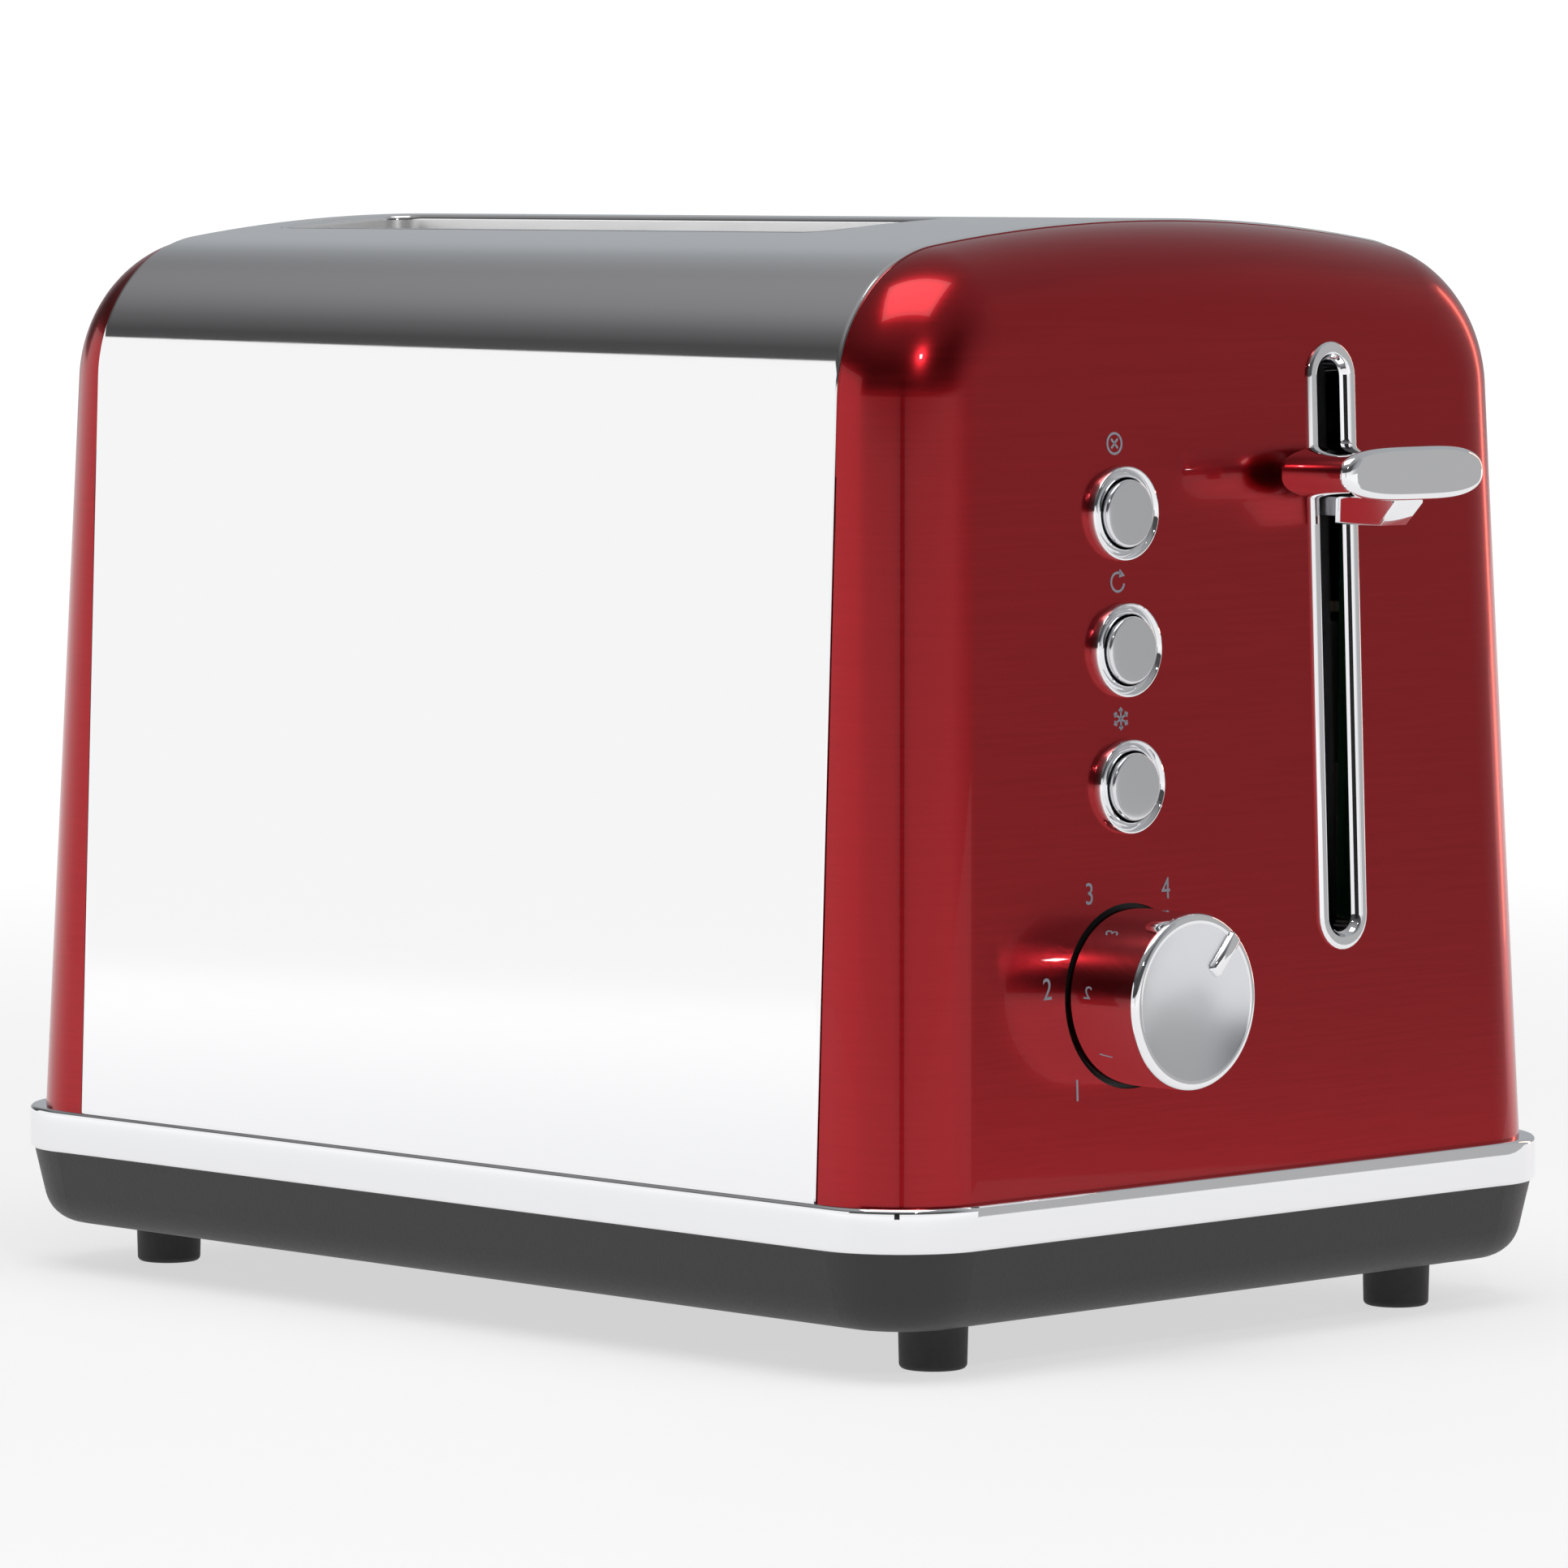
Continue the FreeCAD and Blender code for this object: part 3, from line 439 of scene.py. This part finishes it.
# defrost: a snow crystal with six branched arms
z = BUTTON_Z[2] + 11.6
for k in range(6):
    t = math.radians(30 + 60 * k)
    c, s = math.cos(t), math.sin(t)
    signs.append(stroke(y, z, y + 1.95 * c, z + 1.95 * s, 0.36))
    by, bz = y + 1.1 * c, z + 1.1 * s
    for q in (-40, 40):
        u = t + math.radians(q)
        signs.append(stroke(by, bz, by + 0.7 * math.cos(u), bz + 0.7 * math.sin(u), 0.32))
marks = make("button_signs", *joined([mark(q) for q in signs]))
DIAL_R = 20.3
digits = []
for i, ang in enumerate((-138.5, -83, -27.5, 28, 83.5, 139)):
    curve = bpy.data.curves.new("digit", "FONT")
    curve.body = str(i + 1)
    curve.size = 5.3
    curve.align_x = "CENTER"
    curve.align_y = "CENTER"
    curve.resolution_u = 6
    ob = bpy.data.objects.new("digit", curve)
    bpy.context.scene.collection.objects.link(ob)
    drawn = ob.evaluated_get(bpy.context.evaluated_depsgraph_get())
    me = bpy.data.meshes.new_from_object(drawn)
    cy = KNOB_Y + DIAL_R * math.sin(math.radians(ang))
    cz = KNOB_Z + DIAL_R * math.cos(math.radians(ang))
    mid = [(min(q.co[k] for q in me.vertices) + max(q.co[k] for q in me.vertices)) / 2
           for k in (0, 1)]
    flat = [(cy + (q.co.x - mid[0]) * 0.86, cz + q.co.y - mid[1]) for q in me.vertices]
    n = len(flat)
    v = [on_face(a, b, lift) for lift in (INK_TOP, INK_FOOT) for a, b in flat]
    tops = [tuple(q.vertices) for q in me.polygons]
    sides = {(a, b): 1 for t in tops for a, b in zip(t, t[1:] + t[:1])}
    rim = [(a, b) for a, b in sides if (b, a) not in sides]
    f = tops + [tuple(n + k for k in t[::-1]) for t in tops]
    f += [(b, a, n + a, n + b) for a, b in rim]
    digits.append((v, f))
    bpy.data.objects.remove(ob)
dial = make("dial_numbers", *joined(digits))
for ob in (marks, dial):
    ob.data.materials.append(ink)
    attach(ob, "case")

# ---------------------------------------------------------------- trim band
# Bright plated moulding that runs round the foot of the shells and covers the
# joint to the base. Its top and bottom edges are softly rounded.
chrome, _, _ = principled("bright chrome", (0.88, 0.885, 0.9), 1.0, 0.03)
BAND_Z0 = 22.3
BAND_X, BAND_Y, BAND_R = 120.4, 86.3, 19.3


def outline(hx, hy, r, steps=18):
    pts = []
    for sx, sy, a in ((1, 1, 0), (-1, 1, 90), (-1, -1, 180), (1, -1, 270)):
        for i in range(steps + 1):
            t = math.radians(a + 90.0 * i / steps)
            pts.append((sx * (hx - r) + r * math.cos(t), sy * (hy - r) + r * math.sin(t)))
    return pts


EDGE = 0.9                          # radius of the band's soft edges
BAND_DEPTH = 8.0
quarter = [math.radians(a) for a in range(0, 91, 15)]
levels = [(BAND_DEPTH, BAND_Z0), (EDGE + 0.2, BAND_Z0)]
levels += [(EDGE - EDGE * math.sin(t), BAND_Z0 + EDGE - EDGE * math.cos(t)) for t in quarter]
levels += [(EDGE - EDGE * math.cos(t), BAND_TOP - EDGE + EDGE * math.sin(t)) for t in quarter]
levels += [(EDGE + 0.3, BAND_TOP), (BAND_DEPTH, BAND_TOP)]
verts = []
for inset, z in levels:
    verts += [(x, y, z) for x, y in outline(BAND_X - inset, BAND_Y - inset, BAND_R - inset)]
band = make("trim_band_visual", verts, grid_faces(
    len(levels), len(verts) // len(levels), wrap_cols=True, wrap_rows=True))
band.data.materials.append(chrome)
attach(band, "case")
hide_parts("trim_band")

# ---------------------------------------------------------------- base
# Black fine textured moulding with a rounded lower edge. It carries the band,
# the feet, the cord bushing and the crumb tray; the tray doorway is at the rear.
black, _, _ = principled("black moulding", (0.022, 0.021, 0.021), 0.0, 0.5)
textured(black, 1400.0, 0.42, 0.56, bump=0.25, detail=3.0)
for node in ("base_housing", "tray_pull", "cord_bushing", "terminal_block", "board_posts",
             "contact_block", "knob_well"):
    ob = frame["nodes"][node]
    ob.data.materials.clear()
    ob.data.materials.append(black)

# ---------------------------------------------------------------- feet
# Four soft rubber pads, pushed into the base from below, rounded at the bottom.
rubber, _, _ = principled("black rubber", (0.012, 0.012, 0.012), 0.0, 0.62)
textured(rubber, 900.0, 0.55, 0.7, bump=0.15)


def lathe_x(x_r, y, z, n, closed_ends=True):
    # a profile of (place, radius) turned round an axis along x; with closed_ends
    # the two ends are capped, otherwise the profile closes on itself as a ring
    verts = []
    for x, r in x_r:
        verts += [(x, a, b) for a, b in circle(y, z, r, n)]
    if closed_ends:
        faces = grid_faces(len(x_r), n, wrap_cols=True)
        faces += [tuple(range(n)), tuple(range((len(x_r) - 1) * n, len(x_r) * n))]
    else:
        faces = grid_faces(len(x_r), n, wrap_cols=True, wrap_rows=True)
    return verts, faces


FOOT_X, FOOT_Y = 100.8, 58.9
FOOT_R, FOOT_EDGE = 5.85, 0.9
for end, sx in (("front", 1), ("rear", -1)):
    for hand, sy in (("left", -1), ("right", 1)):
        prof = [(8.3, 6.3), (7.2, 6.0), (1.0, FOOT_R)]
        for a in range(0, 91, 18):
            t = math.radians(a)
            prof.append((FOOT_EDGE - FOOT_EDGE * math.sin(t),
                         FOOT_R - FOOT_EDGE + FOOT_EDGE * math.cos(t)))
        v, f = lathe_x(prof, 0, 0, 48)
        v = [(sx * FOOT_X - y, sy * FOOT_Y + z, x) for x, y, z in v]
        foot = make("foot_visual_" + end + "_" + hand, v, f)
        foot.data.materials.append(rubber)
        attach(foot, "case")
        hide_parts("foot_" + end + "_" + hand)

# ---------------------------------------------------------------- lever slot ring
# Bright stepped ring pressed into the lacquered face around the lever slot,
# with a dark mouth behind it.
RING_W = 12.3
# each step of the ring: how far in from its outline, how far out from the wall
steps = [(0.0, -0.38), (0.05, 0.0), (0.35, 0.3), (0.8, 0.4), (1.9, 0.34), (2.25, 0.1),
         (2.5, -0.5), (3.1, -0.9), (3.15, -4.2), (2.2, -4.2), (2.2, -0.38)]
verts = []
for i, lift in steps:
    verts += [(wall_x(z) + lift, y, z)
              for y, z in stadium(RING_Y, RING_W - 2 * i, RING_LOW + i, RING_HIGH - i)]
slot_ring = make("slot_ring_visual", verts, grid_faces(
    len(steps), len(verts) // len(steps), wrap_cols=True, wrap_rows=True))
slot_ring.data.materials.append(chrome)
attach(slot_ring, "case")
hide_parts("lever_slot_ring")

# ---------------------------------------------------------------- lever handle
# Plated pillow shaped bar with a keel under it, pushed onto the flat lever arm.
LEVER_Z = 151.0
BACK = wall_x(LEVER_Z) + 3.4
FRONT = wall_x(LEVER_Z) + 20.5
HANDLE_HALF, HANDLE_RISE = 18.15, 4.75
PILLOW_POINTS = 96


def pillow(inset):
    # the bar's outline, between an ellipse and a rectangle
    pts = []
    for i in range(PILLOW_POINTS):
        t = 2 * math.pi * i / PILLOW_POINTS
        c, s = math.cos(t), math.sin(t)
        y = math.copysign(abs(c) ** 0.62, c) * (HANDLE_HALF - inset)
        z = math.copysign(abs(s) ** 0.74, s) * (HANDLE_RISE - inset)
        pts.append((RING_Y + y, LEVER_Z + z))
    return pts


def bulge(y, amount):
    return amount * (1 - ((y - RING_Y) / HANDLE_HALF) ** 2)


rows = [(BACK + 0.05, 3.2, 0), (BACK, 1.6, 0), (BACK + 0.25, 0.7, 0),
        (BACK + 0.8, 0.2, 0), (BACK + 1.6, 0.0, 0)]
RIM = FRONT - 2.6
rows.append((RIM, 0.0, 0.6))
for a in range(10, 81, 10):
    t = math.radians(a)
    rows.append((RIM + 1.5 * math.sin(t), 1.5 * (1 - math.cos(t)), 0.6 + 0.5 * math.sin(t)))
rows += [(RIM + 1.6, 2.0, 1.0), (RIM + 1.62, 3.0, 1.0), (RIM + 1.62, 4.3, 1.0)]
v = []
for x, i, dome in rows:
    v += [(x + bulge(y, dome), y, z) for y, z in pillow(i)]
n = PILLOW_POINTS
bar_ends = [tuple(range(n)), tuple(range((len(rows) - 1) * n, len(rows) * n))]
bar = (v, grid_faces(len(rows), n, wrap_cols=True) + bar_ends)
KEEL_LOW, KEEL_BEND, KEEL_TOP = 141.8, 145.6, 149.0
side = [(BACK, KEEL_LOW), (FRONT - 6.3, KEEL_LOW), (RIM, KEEL_BEND), (RIM, KEEL_TOP), (BACK, KEEL_TOP)]
rims = []
for y, shrink in ((-3.6, 0.45), (-3.45, 0.14), (-3.1, 0.0), (3.1, 0.0), (3.45, 0.14), (3.6, 0.45)):
    for x, z in side:
        rims.append((x + shrink if x == BACK else x - shrink, RING_Y + y,
                     z + shrink if z < KEEL_TOP else z))
keel = (rims, grid_faces(6, 5, wrap_cols=True) + [tuple(range(5)), tuple(range(25, 30))])
handle = make("lever_handle_visual", *joined([bar, keel]), smooth=48)
handle.data.materials.append(chrome)
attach(handle, "carriage")
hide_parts("lever_handle")

# ---------------------------------------------------------------- browning knob
# Plated cylinder with a satin grey front disc and a raised pointer bar. It turns
# on the timer shaft in a round recess with a thin dark gap.
KNOB_R = 15.15
KNOB_EDGE = 1.1
DISC_R = 13.4
K0 = wall_x(KNOB_Z) - 0.65          # where the knob starts, inside its recess
K1 = wall_x(KNOB_Z) + 15.3          # where its front disc is
face_metal, _, _ = principled("knob face", (0.74, 0.75, 0.77), 1.0, 0.3)
textured(face_metal, 300.0, 0.27, 0.33)
prof = [(K0 + 9, 12.9), (K0, 13.1), (K0, 14.9), (K0 + 0.25, KNOB_R), (K1 - KNOB_EDGE, KNOB_R)]
prof += [(K1 - KNOB_EDGE + KNOB_EDGE * math.sin(t), KNOB_R - KNOB_EDGE + KNOB_EDGE * math.cos(t))
         for t in quarter[1:]]
prof += [(K1 - 0.02, DISC_R), (K1 - 0.18, DISC_R - 0.2), (K1 - 0.18, 0.6)]
knob = make("knob_visual", *lathe_x(prof, KNOB_Y, KNOB_Z, 128), smooth=40)
knob.data.materials.append(chrome)
knob.data.materials.append(face_metal)
for poly in knob.data.polygons:
    c = poly.center / MM
    if c.x - SHIFT > K1 - 0.3 and math.hypot(c.y - KNOB_Y, c.z - KNOB_Z) < DISC_R - 0.1:
        poly.material_index = 1
SUNK = -0.4                         # the pointer's foot, below the disc
POINTER_IN, POINTER_OUT = 6.0, 14.6
POINTER_TURN = math.radians(41.6)
across = ((-1.35, SUNK), (-1.3, 0.35), (-1.05, 0.75), (-0.55, 0.9),
          (0.55, 0.9), (1.05, 0.75), (1.3, 0.35), (1.35, SUNK))
along = ((POINTER_IN, 0.9), (6.25, 0.35), (6.8, 0.0), (13.9, 0.0), (14.4, 0.35), (POINTER_OUT, 0.9))
c, s = math.cos(POINTER_TURN), math.sin(POINTER_TURN)
bar = []
for y0, x in across:
    for z, drop in along:
        y = y0 * (0.8 if z in (POINTER_IN, POINTER_OUT) else 1.0)
        bar.append((max(K1 + x - drop, K1 + SUNK), KNOB_Y + y * c + z * s, KNOB_Z - y * s + z * c))
faces = grid_faces(8, 6) + [tuple(6 * i for i in range(8)), tuple(6 * i + 5 for i in range(7, -1, -1)),
                            tuple(range(6)) + tuple(range(47, 41, -1))]
pointer = make("knob_pointer", bar, faces, smooth=50)
pointer.data.materials.append(chrome)
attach(knob, "knob")
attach(pointer, "knob")
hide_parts("browning_knob")

# ---------------------------------------------------------------- push buttons
# Slightly domed plated caps in stepped bright rings, one body each, sprung out
# by the switches behind them.
cap_metal, _, _ = principled("button face", (0.74, 0.75, 0.77), 1.0, 0.14)
BUTTON_R, BUTTON_EDGE = 5.8, 0.5
BUTTON_PROUD = 1.6
BUTTON_FLAT = BUTTON_R - BUTTON_EDGE
# the stepped ring: how far out from the wall, and the radius there
ring_steps = [(-0.6, 8.15), (0.75, 8.13), (1.1, 7.98), (1.2, 7.75), (1.05, 7.5), (0.35, 7.05),
              (0.15, 6.85), (0.3, 6.62), (0.95, 6.5), (1.1, 6.36), (1.0, 6.2), (0.8, 6.12),
              (-6.0, 6.12), (-6.0, 6.85), (-0.6, 6.9)]
ring_parts = []
for name, z in zip(("cancel", "reheat", "defrost"), BUTTON_Z):
    X = wall_x(z)
    ring_prof = [(X + out, r) for out, r in ring_steps]
    ring_parts.append(lathe_x(ring_prof, BUTTON_Y, z, 72, closed_ends=False))
    prof = [(X - 7, 5.4), (X - 7, BUTTON_R), (X + BUTTON_PROUD, BUTTON_R)]
    prof += [(X + BUTTON_PROUD + BUTTON_EDGE * math.sin(t), BUTTON_FLAT + BUTTON_EDGE * math.cos(t))
             for t in quarter[1:]]
    prof += [(X + BUTTON_PROUD + BUTTON_EDGE + 0.16 * (1 - (r / BUTTON_FLAT) ** 2), r)
             for r in (4.4, 3.4, 2.3, 1.1, 0.3)]
    cap = make(name + "_cap", *lathe_x(prof, BUTTON_Y, z, 72))
    cap.data.materials.append(cap_metal)
    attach(cap, name)
    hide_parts(name + "_button")
rings = make("button_rings_visual", *joined(ring_parts))
rings.data.materials.append(chrome)
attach(rings, "case")
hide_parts("button_rings")

# ---------------------------------------------------------------- bread guards
# Bright wires that keep bread off the heaters: upright wires on two rails,
# fixed between the inner plates on both sides of each slot.
wire_metal, _, _ = principled("bright wire", (0.72, 0.72, 0.73), 1.0, 0.22)
textured(wire_metal, 400.0, 0.18, 0.3)


def wire_row():
    # a row of upright wires along x, as one node tree with its sizes as inputs
    g = bpy.data.node_groups.new("wire row", "GeometryNodeTree")
    for name, kind, value in (("Count", "NodeSocketInt", 8), ("Pitch", "NodeSocketFloat", 0.018),
                              ("Height", "NodeSocketFloat", 0.15), ("Radius", "NodeSocketFloat", 0.0008),
                              ("Material", "NodeSocketMaterial", None)):
        s = g.interface.new_socket(name=name, in_out="INPUT", socket_type=kind)
        if value is not None:
            s.default_value = value
    g.interface.new_socket(name="Geometry", in_out="OUTPUT", socket_type="NodeSocketGeometry")
    n = g.nodes
    gi, go = n.new("NodeGroupInput"), n.new("NodeGroupOutput")
    line, cyl = n.new("GeometryNodeMeshLine"), n.new("GeometryNodeMeshCylinder")
    off, inst = n.new("ShaderNodeCombineXYZ"), n.new("GeometryNodeInstanceOnPoints")
    real, mat = n.new("GeometryNodeRealizeInstances"), n.new("GeometryNodeSetMaterial")
    cyl.inputs["Vertices"].default_value = 16
    g.links.new(gi.outputs["Count"], line.inputs["Count"])
    g.links.new(gi.outputs["Pitch"], off.inputs["X"])
    g.links.new(off.outputs["Vector"], line.inputs["Offset"])
    g.links.new(gi.outputs["Radius"], cyl.inputs["Radius"])
    g.links.new(gi.outputs["Height"], cyl.inputs["Depth"])
    g.links.new(line.outputs["Mesh"], inst.inputs["Points"])
    g.links.new(cyl.outputs["Mesh"], inst.inputs["Instance"])
    g.links.new(inst.outputs["Instances"], real.inputs["Geometry"])
    g.links.new(real.outputs["Geometry"], mat.inputs["Geometry"])
    g.links.new(gi.outputs["Material"], mat.inputs["Material"])
    g.links.new(mat.outputs["Geometry"], go.inputs["Geometry"])
    return g


row_group = wire_row()


def run_row(name, values, offset):
    ob = bpy.data.objects.new(name, bpy.data.meshes.new(name))
    bpy.context.scene.collection.objects.link(ob)
    mod = ob.modifiers.new("row", "NODES")
    mod.node_group = row_group
    for item in row_group.interface.items_tree:
        if item.in_out == "INPUT" and item.name in values:
            mod[item.identifier] = values[item.name]
    grown = ob.evaluated_get(bpy.context.evaluated_depsgraph_get())
    me = bpy.data.meshes.new_from_object(grown)
    ob.modifiers.remove(mod)
    me.transform(Matrix.Translation(Vector(offset) * MM))
    for poly in me.polygons:
        poly.use_smooth = True
    ob.data = me
    return ob


GUARD_LOW, GUARD_HIGH = 34.15, 188.0
GUARD_OFF = 13.2                    # from a slot's middle to its guards
WIRES, WIRE_SPAN, WIRE_R = 8, 129.0, 0.8
RAIL_X0, RAIL_X1, RAIL_R = -93, 62, 1.1
for hand, side in (("left", -1), ("right", 1)):
    for place, off in (("inner", -1), ("outer", 1)):
        gy = side * (SLOT_Y + off * GUARD_OFF)
        values = {"Count": WIRES, "Pitch": WIRE_SPAN / (WIRES - 1) * MM,
                  "Height": (GUARD_HIGH - GUARD_LOW) * MM, "Radius": WIRE_R * MM,
                  "Material": wire_metal}
        guard = run_row("guard_wires_" + hand + "_" + place, values,
                        (SLOT_X0 + 8 + SHIFT, gy, (GUARD_LOW + GUARD_HIGH) / 2))
        v, f = joined([lathe_x([(RAIL_X0, RAIL_R), (RAIL_X1, RAIL_R)], gy, z, 20)
                       for z in (40.15, 170.0)])
        rails = make("guard_rails_" + hand + "_" + place, v, f)
        rails.data.materials.append(wire_metal)
        for ob in (guard, rails):
            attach(ob, "case")
        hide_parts("bread_guard_" + hand + "_" + place)

# ---------------------------------------------------------------- inner works
# Plated plates, mica boards with flat ribbons, the sliding carriage and the
# control board. They keep their working shapes and take real finishes.
finish = {"wire": wire_metal, "base_black": black}
# slot: name, colour, metallic, roughness, noise scale, gloss from and to
for slot, name, color, metallic, rough, scale, low, high in (
        ("plate", "zinc sheet", (0.55, 0.56, 0.58), 1.0, 0.32, 120.0, 0.26, 0.42),
        ("mica", "mica", (0.42, 0.34, 0.22), 0.0, 0.45, 90.0, 0.35, 0.6),
        ("ribbon", "heater ribbon", (0.33, 0.29, 0.27), 1.0, 0.4, 300.0, 0.3, 0.5),
        ("circuit", "circuit board", (0.02, 0.12, 0.05), 0.0, 0.35, 500.0, 0.3, 0.42),
        ("dark_part", "dark moulding", (0.03, 0.03, 0.035), 0.0, 0.3, 500.0, 0.25, 0.38),
        ("slider", "natural moulding", (0.55, 0.53, 0.47), 0.0, 0.45, 500.0, 0.4, 0.5),
        ("copper", "copper wire", (0.60, 0.28, 0.12), 1.0, 0.3, 2500.0, 0.2, 0.4),
        ("screw", "zinc screw", (0.5, 0.5, 0.52), 1.0, 0.35, 600.0, 0.28, 0.42)):
    finish[slot], _, _ = principled(name, color, metallic, rough)
    stretch = (0.1, 0.1, 1) if slot == "copper" else (1, 1, 1)
    textured(finish[slot], scale, low, high, stretch, bump={"mica": 0.1, "copper": 0.4}.get(slot, 0.0))
for part in frame["record"]["subparts"]:
    name, slot = part["node"], part["material_slot"]
    if slot in finish and name in frame["nodes"]:
        data = frame["nodes"][name].data
        data.materials.clear()
        data.materials.append(finish[slot])

# ---------------------------------------------------------------- studio
# Pale floor that fades into a white room, a plain grey ceiling, a few cards seen
# only in reflections, two lamps and a camera at the front corner.
floor_mat, ft, p = principled("pale floor", (0.6, 0.6, 0.6), 0.0, 0.7)
place = ft.nodes.new("ShaderNodeTexCoord")
dist = ft.nodes.new("ShaderNodeVectorMath")
dist.operation = "LENGTH"
ft.links.new(place.outputs["Object"], dist.inputs[0])
for socket, near, away in (("Emission Strength", 0.62, 1.04), ("Base Color", 0.45, 0.0)):
    fade = ft.nodes.new("ShaderNodeMapRange")
    fade.interpolation_type = "SMOOTHSTEP"
    fade.inputs["From Min"].default_value = 0.2
    fade.inputs["From Max"].default_value = 1.3
    fade.inputs["To Min"].default_value = near
    fade.inputs["To Max"].default_value = away
    ft.links.new(dist.outputs["Value"], fade.inputs["Value"])
    ft.links.new(fade.outputs["Result"], p.inputs[socket])
p.inputs["Emission Color"].default_value = (1, 1, 1, 1)
p.inputs["Specular IOR Level"].default_value = 0.1
FLOOR = 6000
v = [(x, y, z) for x in (-FLOOR, FLOOR) for y in (-FLOOR, FLOOR) for z in (-4.0, 0.0)]
floor = make("floor", v, [(0, 1, 3, 2), (4, 6, 7, 5), (0, 4, 5, 1),
                          (2, 3, 7, 6), (0, 2, 6, 4), (1, 5, 7, 3)])
floor.data.materials.append(floor_mat)
floor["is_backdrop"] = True

world = bpy.data.worlds.new("studio")
bpy.context.scene.world = world
world.use_nodes = True
wt = world.node_tree
bg = wt.nodes["Background"]
co = wt.nodes.new("ShaderNodeTexCoord")
sep = wt.nodes.new("ShaderNodeSeparateXYZ")
wt.links.new(co.outputs["Generated"], sep.inputs["Vector"])
ramp = wt.nodes.new("ShaderNodeValToRGB")
els = ramp.color_ramp.elements
els[0].position, els[0].color = 0.0, (1.0, 1.0, 1.0, 1)
els[1].position, els[1].color = 0.07, (1.0, 1.0, 1.0, 1)
for pos, g in ((0.11, 0.06), (0.3, 0.08), (0.42, 0.07), (0.52, 0.13),
               (0.64, 0.24), (0.8, 0.32), (1.0, 0.42)):
    el = els.new(pos)
    el.color = (g, g, g * 1.02, 1)
back = wt.nodes.new("ShaderNodeMapRange")
back.inputs["From Min"].default_value = 0.1
back.inputs["From Max"].default_value = 0.6
back.interpolation_type = "SMOOTHSTEP"
far = wt.nodes.new("ShaderNodeMix")
far.data_type = "RGBA"
far.inputs["B"].default_value = (0.42, 0.44, 0.46, 1)
wt.links.new(sep.outputs["Z"], ramp.inputs["Fac"])
wt.links.new(sep.outputs["Y"], back.inputs["Value"])
wt.links.new(back.outputs["Result"], far.inputs["Factor"])
wt.links.new(ramp.outputs["Color"], far.inputs["A"])
path = wt.nodes.new("ShaderNodeLightPath")
mixw = wt.nodes.new("ShaderNodeMix")
mixw.data_type = "RGBA"
mixw.inputs["B"].default_value = (1.1, 1.1, 1.1, 1)
wt.links.new(path.outputs["Is Camera Ray"], mixw.inputs["Factor"])
wt.links.new(far.outputs["Result"], mixw.inputs["A"])
wt.links.new(mixw.outputs["Result"], bg.inputs["Color"])
bg.inputs["Strength"].default_value = 0.95


def card(name, where, width, height, turn, glow, color=(1, 1, 1)):
    # an upright glowing card that only shows in reflections
    m = bpy.data.materials.new(name)
    m.use_nodes = True
    m.node_tree.nodes.clear()
    em = m.node_tree.nodes.new("ShaderNodeEmission")
    out = m.node_tree.nodes.new("ShaderNodeOutputMaterial")
    em.inputs["Color"].default_value = (*color, 1)
    em.inputs["Strength"].default_value = glow
    m.node_tree.links.new(em.outputs["Emission"], out.inputs["Surface"])
    me = bpy.data.meshes.new(name)
    w = width / 2
    corners = [(-w, 0, 0), (w, 0, 0), (w, 0, height), (-w, 0, height)]
    me.from_pydata(corners, [], [(0, 1, 2, 3)])
    me.materials.append(m)
    ob = bpy.data.objects.new(name, me)
    ob.location = where
    ob.rotation_euler = (0, 0, math.radians(turn))
    bpy.context.scene.collection.objects.link(ob)
    ob.visible_camera = False
    ob.visible_diffuse = False
    ob.visible_shadow = False
    ob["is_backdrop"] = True


card("white flag", (-0.95, -0.95, -0.02), 2.2, 0.66, -45, 1.0)
card("grey flag", (0.363, 0.428, 0.0), 0.46, 0.6, -52.4, 0.46)
card("dark post", (0.80, -0.87, 0.0), 0.10, 0.5, 43, 0.02)
card("far glow", (0.06, 1.2, 0.0), 0.13, 0.7, 0, 4.5, (1, 0.5, 0.38))


def soft_box(name, where, aim, sx, sy, power):
    light = bpy.data.lights.new(name, "AREA")
    light.shape = "RECTANGLE"
    light.size, light.size_y = sx, sy
    light.energy = power
    ob = bpy.data.objects.new(name, light)
    ob.location = where
    ob.rotation_euler = (Vector(aim) - Vector(where)).to_track_quat("-Z", "Y").to_euler()
    bpy.context.scene.collection.objects.link(ob)
    ob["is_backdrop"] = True


soft_box("top soft box", (0.2, -0.3, 1.6), (0, 0, 0.1), 1.2, 0.9, 10)
soft_box("small lamp", (1.0, -0.55, 0.75), (0.1, 0, 0.1), 0.05, 0.05, 1.2)

cam = bpy.data.cameras.new("camera")
cam.sensor_width = 36.0
cam.lens = 10622.9 / 1932.0 * 36.0
cam.clip_end = 50.0
camera = bpy.data.objects.new("camera", cam)
camera.location = ((1128.9 + SHIFT) * MM, -1091.1 * MM, 204.9 * MM)
camera.rotation_euler = (math.radians(90 - 4.133), 0, math.radians(45.884))
bpy.context.scene.collection.objects.link(camera)
bpy.context.scene.camera = camera
bpy.context.scene.view_settings.view_transform = "Standard"

low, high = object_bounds()
